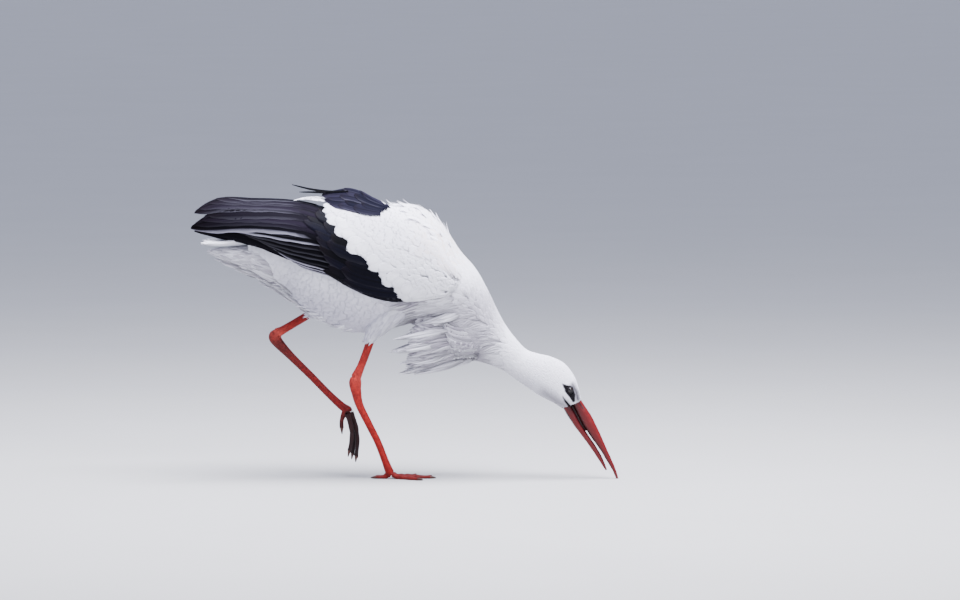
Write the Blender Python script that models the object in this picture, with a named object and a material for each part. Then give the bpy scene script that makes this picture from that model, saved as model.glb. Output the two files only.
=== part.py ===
"""White stork as a still, life-size model: one leg planted, one lifted, bill tip on the ground.

+X runs from the tail to the bill, +Y to the bird's left and +Z up. The ground is z = 0.
Every size below is in millimetres; the meshes are written in metres.
"""
import math

import bmesh
import bpy
import numpy as np
from mathutils import Matrix

MM = 0.001
GAP = 0.35          # clear space kept between neighbouring pieces
CUT = 0.20          # half the width of a thin parting cut across one body
RIGHT, LEFT = -1, 1
SHARP_ANGLE = math.radians(40)

# --- Body: one run of rings from the edge of the bill to the rump --------------------------
# Each row is a ring: top x, top z, low x, low z, half width.
BODY = (
    (369, 159, 330, 144, 17),      # feather edge round the bill
    (364, 181, 314, 155, 23.5),    # through the eyes
    (354, 211, 295, 165, 27.5),    # crown
    (333, 238.5, 280, 172.5, 29),      # widest part of the head
    (304, 253, 264, 183.5, 28),      # back of the head
    (279, 259, 248, 195, 26.5),    # nape
    (255, 267.5, 229, 207.5, 27),
    (233, 290, 206, 224, 31),      # bend of the neck
    (210, 321, 173, 238, 37),
    (192, 356, 128, 252, 46),
    (173, 395, 93, 280, 58),       # foot of the neck
    (150, 435, 70, 318, 71),
    (117, 474, 45, 324, 82),       # shoulders
    (76, 534, 10, 321, 89),
    (25, 566, -37, 310, 92),       # deepest part of the breast
    (-37, 567, -99, 303, 90),
    (-109, 568, -161, 324, 83),
    (-175, 583, -206, 352, 71),    # lower back, feathers raised
    (-225, 576, -243, 388, 55),
    (-272, 552, -288, 414, 42),    # rump
)
HEAD_END = 4.6       # ring numbers at the thin cuts
NECK_MIDDLE = 7.6
NECK_END = 10.5
TRUNK_END = 16.7
BODY_LENGTHS = (("head", 9), ("neck_upper", 6), ("neck_lower", 6), ("trunk", 12), ("rump", 5))
BODY_SIDES = 20
BODY_FULLNESS = 2.1

# --- Feather masses that hang free of the body: same columns ------------------------------
RUFF = (
    (186, 275, 172, 246, 24),
    (160, 312, 128, 242, 46),
    (118, 348, 84, 232, 64),
    (72, 362, 40, 222, 74),
    (24, 350, 10, 224, 70),
)
RUFF_LOCKS = (10, 34, 16, 42, 12, 38, 20, 30)       # lengths of the locks blown back
VENT = (
    (-290, 492, -291, 413, 40),
    (-322, 484, -324, 434, 36),
    (-352, 480, -354, 446, 30),
    (-380, 477, -382, 459, 20),
)
VENT_LOCKS = (8, 24, 12, 20)
TAIL = (
    (-291, 545, -292, 494, 35),
    (-322, 518, -323, 485, 37),
    (-360, 497.5, -360, 482, 38),
    (-396, 495.5, -396, 482.5, 45),
    (-414, 495.5, -414, 485.5, 48),
)
TAIL_LOCKS = (4, 10, 6, 9)
TAIL_FULLNESS = 2.6                 # 2 is an ellipse and more is squarer
RUFF_SIDES = 18
TAIL_SIDES = 16
FRINGE_RINGS = 6
FRINGE_TUCK = 0.9                   # how far every other lock is drawn in, and the end's depth
FRINGE_CORE = 0.6

# --- Folded wings: an oval form along x that both wings lie on ------------------------------
# x, height of its middle, half height, half width.
WING_FORM = (
    (-440, 532, 32, 24),
    (-390, 531, 50, 41),
    (-300, 511, 70, 67),
    (-200, 477, 101, 93),
    (-100, 451, 124, 106),
    (0, 430, 138, 106),
    (70, 418, 130, 99),
    (104, 412, 112, 91),
    (130, 408, 98, 72),
)
# x, height of the lower edge, angle of the upper edge in degrees, thickness.
WING_EDGES = (
    (-440, 505, 80, 2.5),
    (-390, 499.5, 88, 3.5),
    (-300, 483, 88, 6),
    (-212, 441, 82, 9),
    (-140, 411, 61, 14),
    (-89, 384, 48, 18),
    (-27, 367, 38, 22),
    (25, 369, 29, 24),
    (76, 377, 19, 24),
    (125, 400, 8, 20),
)
WRIST_X = 122
WRIST_CURVE = (22, 2.4)             # how far back the front edge's ends lie, and its bow
WRIST_LEAN = (24, 3)                # how much further back its top lies, and its bow
# Rear edges of the three parts: share from the lower to the upper edge, x.
COVERT_REAR = ((0, 6), (0.16, -2), (0.31, -37), (0.46, -70), (0.56, -108), (0.7, -138), (1, -160))
GREATER_REAR = ((0, -112), (1, -216))
FLIGHT_REAR = ((0, -424), (1, -415))
SCALLOPS = 7                        # rounded feather ends along each of those edges
SCALLOP_DEPTHS = (5, 6, 16)
WING_STEPS = (5, 3, 6)              # rings of each part

# --- Long black shoulder feathers, lifted by the wind --------------------------------------
# x, height of the top line, angle of the outer edge in degrees.
SHOULDER = (
    (-172, 592, 72),
    (-140, 598, 63),
    (-113, 602, 59),
    (-88, 596, 55),
    (-62, 582, 53),
    (-34, 569, 52.5),
    (-20, 563, 52),
)
SHOULDER_RIDGE = 89                 # angle of the inner edge in degrees
SHOULDER_LIFT = 3.5                 # height of the outer edge over the wings' oval
SHOULDER_DEPTHS = (10, 40)          # depth of the solid at its outer and inner edges
SHOULDER_RINGS = 6
SHOULDER_SIDES = 5
# Loose plumes: side, start, middle and tip.
PLUMES = (
    (RIGHT, (-150, 14, 594), (-192, 16, 600), (-228, 15, 609)),
    (LEFT, (-148, 20, 590), (-182, 24, 591), (-214, 26, 591)),
)
PLUME_HALF_WIDTH = 6
PLUME_HALF_THICK = 0.8
PLUME_TIP_SHARE = 0.14              # least width, as a share of the widest
PLUME_RINGS = 8

# --- Bill: rings as for the body ------------------------------------------------------------
BILL_UPPER = (
    (362, 172, 345, 161, 14),
    (371, 156, 354, 144.5, 13),
    (388.5, 129, 368.5, 115.5, 11),
    (406.5, 92, 389, 84.5, 8.5),
    (418.5, 64.5, 406.5, 60, 6.3),
    (429.5, 40, 421, 36, 4.4),
    (438, 20, 432, 17.5, 3.0),
    (445, -1, 441, -3, 2.0),
)
BILL_LOWER = (
    (344, 156.5, 328, 151, 13),
    (352.3, 141.5, 337, 134, 12),
    (366, 115, 353.5, 109, 10),
    (381, 92, 371, 86, 7.8),
    (398, 67, 389, 61, 5.8),
    (411.5, 43, 403, 40, 4.0),
    (421, 19, 418, 17, 1.6),
)
BILL_SIDES = 12
BILL_FULLNESS = 2.2
EYE_PLACE = (344, 17.5, 185)
EYE_RADIUS = 8.4
EYE_SIDES = 10
EYE_ROWS = 6

# --- Legs: x, y out from the middle, z, fore-and-aft radius, sideways radius -----------------
THIGH_PLANTED = ((-8, 46, 365, 34, 28), (-34, 46, 338, 28, 24), (-56, 43, 312, 20, 17),
                 (-65, 41, 298, 14.5, 13.5))
THIGH_LIFTED = ((-84, 48, 378, 38, 28), (-130, 50, 360, 32, 27), (-166, 48, 348, 21, 19),
                (-187, 46.5, 341, 14, 13.5))
SHANK_PLANTED = ((-61, 40, 302, 8, 7.5), (-68, 38.5, 284, 8.2, 7.6), (-78, 36, 256, 8, 7),
                 (-87, 33.5, 233, 8.2, 7), (-96, 31.2, 213, 10.5, 8.5))
SHANK_LIFTED = ((-182, 47, 342.5, 7.8, 7.5), (-196, 45, 335.5, 8, 7.4), (-230, 42, 315.5, 8, 7),
                (-250, 40.4, 304, 8.6, 7.2), (-260, 39.4, 299, 10.5, 8.6))
TARSUS_PLANTED = ((-96.8, 31, 211.6, 10.8, 8.7), (-98, 30, 200, 12.6, 10.4),
                  (-96, 28, 183, 10.4, 8.8), (-89.5, 24, 155, 8, 6.6), (-71, 18, 116, 7.3, 6),
                  (-51.5, 11.5, 76, 7.1, 6), (-37, 7, 38, 7.4, 6.5), (-28, 3.6, 15, 8.5, 9),
                  (-24, 3, 9, 7, 8))
TARSUS_LIFTED = ((-260.8, 39.2, 298.6, 10.8, 8.8), (-265, 38, 290, 12.8, 10.6),
                 (-257, 36.5, 277, 10.8, 9), (-231, 33, 250, 8, 6.6), (-190, 28.5, 210, 7.2, 5.9),
                 (-154, 24.5, 173.5, 7.2, 6), (-128, 21.5, 149.5, 8, 7), (-115, 20, 140.5, 9, 9),
                 (-111, 20, 136.5, 7.4, 8))
LIMB_SIDES = 10
SHANK_RINGS = 6
TARSUS_RINGS = 12
THIGH_RINGS = 6
CUFF_SHARE = 0.8                    # width of the thigh's ragged end, as a share of the thigh's
CUFF_LOCKS = (4.0, 9.0)
CUFF_TIP = 5
THIGH_SIDES = 14
# Toe: turn from straight ahead in degrees (positive is inward), length with no claw.
TOES = {"middle": (2, 80), "inner": (36, 60), "outer": (-34, 67), "hind": (176, 31)}
TOE_START = {"middle": 2, "inner": 6, "outer": 6, "hind": 8}
TOE_RADIUS = 5.6
TOE_TAPER = 0.32
TOE_SWELLING = 0.10                 # of the radius, at each joint
TOE_RINGS = 6
TOE_DROP = (0.75, 4.0, 3.5)         # height of the toe: share of radius, rise at its root, fall
TOE_SIDES = 8
CLAW_LENGTH = 11
FOOT_CENTRE = (-24, 3)
HANG_START = (-112, 20, 136)        # knuckle of the lifted foot
# Lifted toes: where each starts from the knuckle, and its reach from there, as x, y out and z.
HANGING = {
    "middle": ((4, 0, 0), (11, -1, -90)),
    "inner": ((-3, -7, -4), (4, -7, -74)),
    "outer": ((-1, 7, -4), (8, 6, -82)),
    "hind": ((-9, 0, -1), (-6, -1, -31)),
}

HANG_BULGE = 7.0                    # how far a hanging toe bows forwards in its middle
HANG_BULGE_HIND = -2.8
CLAW_DROP = 1.4
CLAW_SHARES = (0.78, 0.23)          # radius at the claw's root and point, as shares of the toe's

PALETTE = {
    "plumage_white": ((0.80, 0.79, 0.77), 0.85),
    "plumage_black": ((0.018, 0.017, 0.022), 0.55),
    "bill_red": ((0.42, 0.035, 0.025), 0.45),
    "leg_red": ((0.50, 0.085, 0.06), 0.6),
    "claw_dark": ((0.06, 0.035, 0.03), 0.5),
    "eye_dark": ((0.012, 0.008, 0.007), 0.08),
}


def clear_scene():
    """Remove every object that the file opens with."""
    for item in list(bpy.data.objects):
        bpy.data.objects.remove(item, do_unlink=True)


def make_materials():
    """Make one Principled material for each finish in the palette."""
    made = {}
    for name, (colour, roughness) in PALETTE.items():
        material = bpy.data.materials.new(name)
        material.use_nodes = True
        shader = material.node_tree.nodes["Principled BSDF"]
        shader.inputs["Base Color"].default_value = (*colour, 1.0)
        shader.inputs["Roughness"].default_value = roughness
        shader.inputs["Metallic"].default_value = 0.0
        made[name] = material
    return made


def follow(keys, at):
    """Read a smooth curve through the rows of keys; the first column is where each row lies."""
    table = np.asarray(keys, float)
    table = table[np.argsort(table[:, 0])]
    xs, ys = table[:, 0], table[:, 1:]
    slopes = np.gradient(ys, xs, axis=0)
    at = np.clip(np.atleast_1d(np.asarray(at, float)), xs[0], xs[-1])
    row = np.clip(np.searchsorted(xs, at) - 1, 0, len(xs) - 2)
    span = (xs[row + 1] - xs[row])[:, None]
    t = (at - xs[row])[:, None] / span
    start = ys[row] * (2 * t**3 - 3 * t**2 + 1) + slopes[row] * span * (t**3 - 2 * t**2 + t)
    end = ys[row + 1] * (3 * t**2 - 2 * t**3) + slopes[row + 1] * span * (t**3 - t**2)
    return start + end


def numbered(rows):
    """Put each row's number in front of it, so that follow can read between the rows."""
    return [(number, *row) for number, row in enumerate(rows)]


def oval_ring(row, sides, fullness=2.0):
    """Oval through a top and a low point on the middle plane, with a half width."""
    top_x, top_z, low_x, low_z, half = row
    turn = np.linspace(0, 2 * math.pi, sides, endpoint=False)
    up = np.sign(np.sin(turn)) * np.abs(np.sin(turn)) ** (2 / fullness)
    out = np.sign(np.cos(turn)) * np.abs(np.cos(turn)) ** (2 / fullness)
    x = (top_x + low_x) / 2 + up * (top_x - low_x) / 2
    z = (top_z + low_z) / 2 + up * (top_z - low_z) / 2
    return np.stack([x, out * half, z], axis=1)


def stack(rings, tip=None):
    """Join equal rings into one closed surface, with a fan over each end."""
    sides = len(rings[0])
    count = len(rings)
    points = np.concatenate(rings)
    last = rings[-1].mean(axis=0) if tip is None else np.asarray(tip, float)
    points = np.vstack([points, rings[0].mean(axis=0), last])
    faces = []
    for row in range(count - 1):
        for side in range(sides):
            near = row * sides + side
            beside = row * sides + (side + 1) % sides
            faces.append((near, beside, beside + sides, near + sides))
    first_centre = count * sides
    for side in range(sides):
        beside = (side + 1) % sides
        faces.append((first_centre, beside, side))
        end = (count - 1) * sides
        faces.append((first_centre + 1, end + side, end + beside))
    return points, faces


def add_node(name, shape, material):
    """Make a closed, outward-facing, smooth-shaded mesh object from points in millimetres."""
    points, faces = shape
    mesh = bpy.data.meshes.new(name)
    mesh.from_pydata((np.asarray(points) * MM).tolist(), [], faces)
    tidy_mesh(mesh)
    mesh.shade_smooth()
    mesh.set_sharp_from_angle(angle=SHARP_ANGLE)
    mesh.materials.append(material)
    node = bpy.data.objects.new(name, mesh)
    bpy.context.scene.collection.objects.link(node)
    return node


def tidy_mesh(mesh):
    """Merge doubled points, keep the largest closed body and face it outwards."""
    shape = bmesh.new()
    shape.from_mesh(mesh)
    bmesh.ops.remove_doubles(shape, verts=shape.verts, dist=0.00001)
    bmesh.ops.dissolve_degenerate(shape, edges=shape.edges, dist=0.00001)
    drop_small_bodies(shape)
    bmesh.ops.recalc_face_normals(shape, faces=shape.faces)
    bmesh.ops.triangulate(shape, faces=[face for face in shape.faces if len(face.verts) > 4])
    shape.to_mesh(mesh)
    shape.free()


def drop_small_bodies(shape):
    """Delete every body but the one with the most points."""
    unseen = set(shape.verts)
    bodies = []
    while unseen:
        body = {unseen.pop()}
        edge_of_search = list(body)
        while edge_of_search:
            vert = edge_of_search.pop()
            near = {edge.other_vert(vert) for edge in vert.link_edges} - body
            body |= near
            edge_of_search.extend(near)
        unseen -= body
        bodies.append(body)
    bodies.sort(key=len)
    for body in bodies[:-1]:
        bmesh.ops.delete(shape, geom=list(body), context="VERTS")


def grown_copy(node, grow):
    """Make a hidden cutter: the node's shape moved outwards by grow millimetres."""
    mesh = node.data.copy()
    shape = bmesh.new()
    shape.from_mesh(mesh)
    bmesh.ops.recalc_face_normals(shape, faces=shape.faces)
    shape.normal_update()
    for vert in shape.verts:
        vert.co += vert.normal * vert.calc_shell_factor() * grow * MM
    shape.to_mesh(mesh)
    shape.free()
    cutter = bpy.data.objects.new(node.name + "_cutter", mesh)
    cutter.hide_render = True
    cutter.display_type = "WIRE"
    bpy.context.scene.collection.objects.link(cutter)
    return cutter


def combine(node, other, operation):
    """Apply one exact Boolean to a node and keep its largest body."""
    modifier = node.modifiers.new("join", "BOOLEAN")
    modifier.operation = operation
    modifier.solver = "EXACT"
    modifier.object = other
    depsgraph = bpy.context.evaluated_depsgraph_get()
    mesh = bpy.data.meshes.new_from_object(node.evaluated_get(depsgraph))
    node.modifiers.clear()
    node.data = mesh
    tidy_mesh(mesh)
    mesh.shade_smooth()
    mesh.set_sharp_from_angle(angle=SHARP_ANGLE)
    bpy.data.objects.remove(other, do_unlink=True)


def carve(node, *neighbours):
    """Cut a node back so that it keeps the standard gap to each neighbour."""
    for neighbour in neighbours:
        combine(node, grown_copy(neighbour, GAP), "DIFFERENCE")


def floor_cut(node):
    """Cut a node flat at the ground and cap the cut."""
    shape = bmesh.new()
    shape.from_mesh(node.data)
    geometry = shape.verts[:] + shape.edges[:] + shape.faces[:]
    cut = bmesh.ops.bisect_plane(shape, geom=geometry, plane_co=(0, 0, 0), plane_no=(0, 0, -1),
                                 clear_outer=True)
    rim = [item for item in cut["geom_cut"] if isinstance(item, bmesh.types.BMEdge)]
    bmesh.ops.contextual_create(shape, geom=rim)
    bmesh.ops.recalc_face_normals(shape, faces=shape.faces)
    shape.to_mesh(node.data)
    shape.free()
    tidy_mesh(node.data)
    node.data.shade_smooth()
    node.data.set_sharp_from_angle(angle=SHARP_ANGLE)


# --- Head, neck and trunk ---------------------------------------------------------------------
def body_length(name, start, end, rings, material):
    """Make one length of the body between two ring numbers, short of each by the cut."""
    places = np.linspace(start, end, rings)
    rows = follow(numbered(BODY), places)
    body = [oval_ring(row, BODY_SIDES, BODY_FULLNESS) for row in rows]
    step_in = CUT * unit(body[1].mean(axis=0) - body[0].mean(axis=0))
    step_out = CUT * unit(body[-1].mean(axis=0) - body[-2].mean(axis=0))
    body[0] = body[0] + step_in
    body[-1] = body[-1] - step_out
    node = add_node(name, stack(body), material)
    split_quads(node.data)
    return node


def split_quads(mesh):
    """Split every face into triangles, so that later cuts all meet the same facets."""
    shape = bmesh.new()
    shape.from_mesh(mesh)
    bmesh.ops.triangulate(shape, faces=shape.faces)
    shape.to_mesh(mesh)
    shape.free()


def unit(vector):
    """Scale a vector to length one."""
    return vector / np.linalg.norm(vector)


def make_body(white):
    """Make the head, two lengths of neck, the trunk and the rump."""
    ends = (0, HEAD_END, NECK_MIDDLE, NECK_END, TRUNK_END, len(BODY) - 1)
    return {name: body_length(name, start, end, rings, white)
            for (name, rings), start, end in zip(BODY_LENGTHS, ends, ends[1:])}


def fringed(rows, sides, locks, back, fullness=2.0):
    """Rings through rows whose last edge is drawn out backwards into pointed locks."""
    places = np.linspace(0, len(rows) - 1, FRINGE_RINGS)
    body = [oval_ring(row, sides, fullness) for row in follow(numbered(rows), places)]
    centre = body[-1].mean(axis=0)
    lengths = np.array([locks[side % len(locks)] for side in range(sides)], float)
    ends = body[-1] + np.asarray(back) * lengths[:, None]
    ends = centre + (ends - centre) * np.where(np.arange(sides) % 2, 1.0, FRINGE_TUCK)[:, None]
    body.append(ends)
    return stack(body, tip=centre + np.asarray(back) * min(locks) * FRINGE_CORE)


def make_loose_plumage(white, body):
    """Make the shaggy ruff, the undertail coverts and the tail."""
    ruff = add_node("ruff", fringed(RUFF, RUFF_SIDES, RUFF_LOCKS, (-1, 0, -0.1)), white)
    carve(ruff, body["neck_lower"], body["trunk"])
    tail = add_node("tail", fringed(TAIL, TAIL_SIDES, TAIL_LOCKS, (-1, 0, 0), TAIL_FULLNESS), white)
    carve(tail, body["rump"])
    vent = add_node("vent", fringed(VENT, TAIL_SIDES, VENT_LOCKS, (-1, 0, 0.1)), white)
    carve(vent, body["rump"], tail)
    return {"ruff": ruff, "tail": tail, "vent": vent}


# --- Wings ------------------------------------------------------------------------------------
def wing_surface(x, share, side, inset):
    """Point on the folded wing: x along it, share from lower to upper edge, inset inwards."""
    middle, half_height, half_width = follow(WING_FORM, x).T
    low_z, up_angle, thickness = follow(WING_EDGES, x).T
    low = np.arcsin(np.clip((low_z - middle) / half_height, -0.95, 0.95))
    angle = low + (np.radians(up_angle) - low) * share
    depth = inset * thickness
    y = (half_width - depth) * np.cos(angle)
    z = middle + (half_height - depth) * np.sin(angle)
    return np.stack([x, side * y, z], axis=1)


def scalloped(edge, share, depth):
    """X of an edge that runs in rounded feather ends."""
    return follow(edge, share)[:, 0] - depth * np.abs(np.sin(SCALLOPS * math.pi * share))


def wing_front(share):
    """X of the wing's rounded front edge, which is the bend of the wrist."""
    curve, bow = WRIST_CURVE
    lean, lean_bow = WRIST_LEAN
    return WRIST_X - curve * np.abs(2 * share - 1) ** bow - lean * share**lean_bow


def wing_panel(front, rear, side, steps, shares):
    """Close a panel of wing between two edges, each a list of x values over the shares."""
    outer, inner = [], []
    for step in range(steps + 1):
        x = front + (rear - front) * step / steps
        outer.append(wing_surface(x, shares, side, 0.0))
        inner.append(wing_surface(x, shares, side, 1.0))
    rings = [np.vstack([outside, inside[::-1]]) for outside, inside in zip(outer, inner)]
    return stack_strip(rings)


def stack_strip(rings):
    """Join flat closed strips into one body; each end is closed across the strip."""
    sides = len(rings[0])
    half = sides // 2
    points = np.concatenate(rings)
    faces = []
    for row in range(len(rings) - 1):
        for side in range(sides):
            near = row * sides + side
            beside = row * sides + (side + 1) % sides
            faces.append((near, beside, beside + sides, near + sides))
    last = (len(rings) - 1) * sides
    for side in range(half - 1):
        across = sides - 1 - side
        faces.append((side, across, across - 1, side + 1))
        faces.append((last + side, last + side + 1, last + across - 1, last + across))
    return points, faces


def make_wing(side, letter, materials, body):
    """Make one folded wing in three nodes: small coverts, great coverts and flight feathers."""
    shares = np.linspace(0, 1, 2 * SCALLOPS + 1)
    cut = 2 * CUT
    covert_rear, greater_rear, flight_rear = (
        scalloped(edge, shares, depth)
        for edge, depth in zip((COVERT_REAR, GREATER_REAR, FLIGHT_REAR), SCALLOP_DEPTHS))
    plans = (
        ("coverts", wing_front(shares), covert_rear, "plumage_white"),
        ("greater", covert_rear - cut, greater_rear, "plumage_black"),
        ("flight", greater_rear - cut, flight_rear, "plumage_black"),
    )
    made = {}
    for steps, (part, front, rear, finish) in zip(WING_STEPS, plans):
        name = f"wing_{letter}_{part}"
        shape = wing_panel(front, rear, side, steps, shares)
        made[name] = add_node(name, shape, materials[finish])
        carve(made[name], body["trunk"], body["rump"])
    return made


def make_shoulder(side, letter, black, keep_clear):
    """Make one side's long shoulder feathers with the loose plume that the wind lifts."""
    xs = np.linspace(SHOULDER[-1][0], SHOULDER[0][0], SHOULDER_RINGS)
    shares = np.linspace(0, 1, SHOULDER_SIDES)
    depths = np.linspace(*SHOULDER_DEPTHS, SHOULDER_SIDES)[:, None]
    rings = []
    for x in xs:
        top, edge_angle = follow(SHOULDER, x)[0]
        middle, half_height, half_width = follow(WING_FORM, x)[0] + np.array([0, 1, 1]) * SHOULDER_LIFT
        angle = np.radians(edge_angle + (SHOULDER_RIDGE - edge_angle) * shares)
        height = half_height + (top - middle - half_height) * shares**0.7
        outer = np.stack([np.full(SHOULDER_SIDES, x), side * half_width * np.cos(angle),
                          middle + height * np.sin(angle)], axis=1)
        inner = outer - np.array([0, 0, 1]) * depths
        rings.append(np.vstack([outer, inner[::-1]]))
    name = f"scapulars_{letter}"
    node = add_node(name, stack_strip(rings), black)
    for plume_side, start, middle, tip in PLUMES:
        if plume_side == side:
            combine(node, make_plume(side, start, middle, tip, black), "UNION")
    carve(node, *keep_clear)
    return {name: node}


def make_plume(side, start, middle, tip, material):
    """One thin lifted feather: a flat tapering blade along a bent shaft."""
    shaft = np.array([start, middle, tip], float) * (1, side, 1)
    t = np.linspace(0, 1, PLUME_RINGS)[:, None]
    line = shaft[0] * (1 - t)**2 + 2 * shaft[1] * t * (1 - t) + shaft[2] * t**2
    rings = []
    for share, point in zip(t[:, 0], line):
        half = PLUME_HALF_WIDTH * max(PLUME_TIP_SHARE, math.sqrt(1 - share**3))
        turn = np.linspace(0, 2 * math.pi, PLUME_RINGS, endpoint=False)
        rings.append(point + np.stack([0 * turn, half * np.cos(turn),
                                       PLUME_HALF_THICK * np.sin(turn)], axis=1))
    return add_node("plume", stack(rings), material)


# --- Bill and eyes ------------------------------------------------------------------------------
def make_bill(head, material):
    """Make the two halves of the bill, each cut back to the feather edge of the head."""
    made = {}
    for name, rows in (("bill_upper", BILL_UPPER), ("bill_lower", BILL_LOWER)):
        places = np.linspace(0, len(rows) - 1, len(rows) + 4)
        rings = [oval_ring(row, BILL_SIDES, BILL_FULLNESS)
                 for row in follow(numbered(rows), places)]
        made[name] = add_node(name, stack(rings), material)
        carve(made[name], head)
    carve(made["bill_lower"], made["bill_upper"])
    floor_cut(made["bill_upper"])
    return made


def make_eye(side, letter, material):
    """Make one eyeball, set in a socket of the head."""
    x, y, z = EYE_PLACE
    rings = []
    for row in range(1, EYE_ROWS):
        angle = math.pi * row / EYE_ROWS
        turn = np.linspace(0, 2 * math.pi, EYE_SIDES, endpoint=False)
        radius = EYE_RADIUS * math.sin(angle)
        rings.append(np.stack([x + radius * np.cos(turn),
                               np.full(EYE_SIDES, side * (y - EYE_RADIUS * math.cos(angle))),
                               z + radius * np.sin(turn)], axis=1))
    points, faces = stack(rings)
    points[-2] = (x, side * (y - EYE_RADIUS), z)
    points[-1] = (x, side * (y + EYE_RADIUS), z)
    return add_node(f"eye_{letter}", (points, faces), material)


# --- Legs and feet ------------------------------------------------------------------------------
def limb(name, rows, side, material, rings):
    """Round limb through rows of x, y, z, fore-and-aft radius and sideways radius."""
    read = follow(numbered(rows), np.linspace(0, len(rows) - 1, rings))
    path = read[:, :3] * (1, side, 1)
    along = np.gradient(path, axis=0)
    made = []
    for point, step, (fore, wide) in zip(path, along, read[:, 3:]):
        made.append(limb_ring(point, step, fore, wide, LIMB_SIDES))
    return add_node(name, stack(made), material)


def limb_ring(point, step, fore, wide, sides):
    """Oval ring square to a limb's direction, fore and aft in the limb's own plane."""
    forward = unit(step)
    across = unit(np.array([0, 1, 0]) - forward[1] * forward)
    ahead = np.cross(across, forward)
    turn = np.linspace(0, 2 * math.pi, sides, endpoint=False)[:, None]
    return point + across * wide * np.sin(turn) + ahead * fore * np.cos(turn)


def thigh(letter, side, rows, material):
    """Feathered thigh that ends in a short ragged cuff."""
    read = follow(numbered(rows), np.linspace(0, len(rows) - 1, THIGH_RINGS))
    path = read[:, :3] * (1, side, 1)
    along = np.gradient(path, axis=0)
    rings = [limb_ring(point, step, fore, wide, THIGH_SIDES)
             for point, step, (fore, wide) in zip(path, along, read[:, 3:])]
    cuff = unit(along[-1])
    short, long = CUFF_LOCKS
    lengths = np.where(np.arange(THIGH_SIDES) % 2, long, short)[:, None]
    centre = rings[-1].mean(axis=0)
    rings.append(centre + (rings[-1] - centre) * CUFF_SHARE + cuff * lengths)
    node = add_node(f"thigh_{letter}", stack(rings, tip=centre + cuff * CUFF_TIP), material)
    split_quads(node.data)
    return node


def toe_profile(share, knuckles):
    """Radius along a toe: slow taper with a low swelling at each joint."""
    swelling = 1 + TOE_SWELLING * np.cos(2 * math.pi * knuckles * share)
    return TOE_RADIUS * (1 - TOE_TAPER * share) * swelling


def planted_toe(name, side, turn, length):
    """Rows of a toe that lies along the ground from the foot's knuckle."""
    share = np.linspace(0, 1, TOE_RINGS)
    angle = math.radians(turn)
    start = TOE_START[name]
    reach = start + (length - start) * share
    x = FOOT_CENTRE[0] + reach * math.cos(angle)
    y = FOOT_CENTRE[1] - reach * math.sin(angle)
    radius = toe_profile(share, 3 if name != "hind" else 1)
    low, rise, fall = TOE_DROP
    z = radius * low + rise * np.clip(1 - fall * share, 0, 1) ** 2
    return np.stack([x, y, z, radius, radius * 1.1], axis=1)


def hanging_toe(name):
    """Rows of a toe of the lifted foot, which hangs from its knuckle in a slow curve."""
    offset, reach = (np.array(value, float) for value in HANGING[name])
    start = np.array(HANG_START, float) + offset
    share = np.linspace(0, 1, TOE_RINGS)[:, None]
    bow = HANG_BULGE_HIND if name == "hind" else HANG_BULGE
    path = start + reach * share + np.array([bow, 0, 0]) * np.sin(math.pi * share)
    radius = toe_profile(share[:, 0], 3 if name != "hind" else 1)
    return np.hstack([path, radius[:, None], radius[:, None] * 0.95])


def toe_limb(name, rows, side, material):
    """Toe from its rows; the ring's plane is set by the toe's own direction."""
    path = rows[:, :3] * (1, side, 1)
    along = np.gradient(path, axis=0)
    rings = []
    for point, step, radius in zip(path, along, rows[:, 3]):
        rings.append(toe_ring(point, step, radius, TOE_SIDES))
    end = path[-1] + unit(along[-1]) * rows[-1, 3] * 0.5
    return add_node(name, stack(rings, tip=end), material)


def toe_ring(point, step, radius, sides):
    """Round ring square to a direction that may point any way but straight sideways."""
    forward = unit(step)
    guide = np.array([0, 0, 1.0]) if abs(forward[2]) < 0.7 else np.array([1.0, 0, 0])
    across = unit(np.cross(guide, forward))
    ahead = np.cross(forward, across)
    turn = np.linspace(0, 2 * math.pi, sides, endpoint=False)[:, None]
    return point + radius * (across * np.sin(turn) + ahead * np.cos(turn))


def claw_rows(rows):
    """Rows of the claw that carries a toe on and curves down to a blunt point."""
    end, before = rows[-1, :3], rows[-2, :3]
    forward = unit(end - before)
    share = np.linspace(0, 1, 3)[:, None]
    path = end + forward * (share * CLAW_LENGTH + 1) - np.array([0, 0, CLAW_DROP]) * share
    thick, thin = CLAW_SHARES
    radius = rows[-1, 3] * (thick + (thin - thick) * share[:, 0])
    return np.hstack([path, radius[:, None], radius[:, None]])


def make_foot(side, letter, planted, materials, tarsus):
    """Make four toes and their claws, each cut back to its neighbours."""
    made = {}
    for toe, (turn, length) in TOES.items():
        rows = planted_toe(toe, side, turn, length) if planted else hanging_toe(toe)
        name = f"toe_{toe}_{letter}"
        made[name] = toe_limb(name, rows, side, materials["leg_red"])
        claw = toe_limb(f"claw_{toe}_{letter}", claw_rows(rows), side, materials["claw_dark"])
        carve(claw, made[name])
        made[claw.name] = claw
        carve(made[name], tarsus)
        others = [made[key] for key in made if key.startswith("toe_") and key != name]
        carve(made[name], *others)
    if planted:
        for node in made.values():
            floor_cut(node)
    return made


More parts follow.
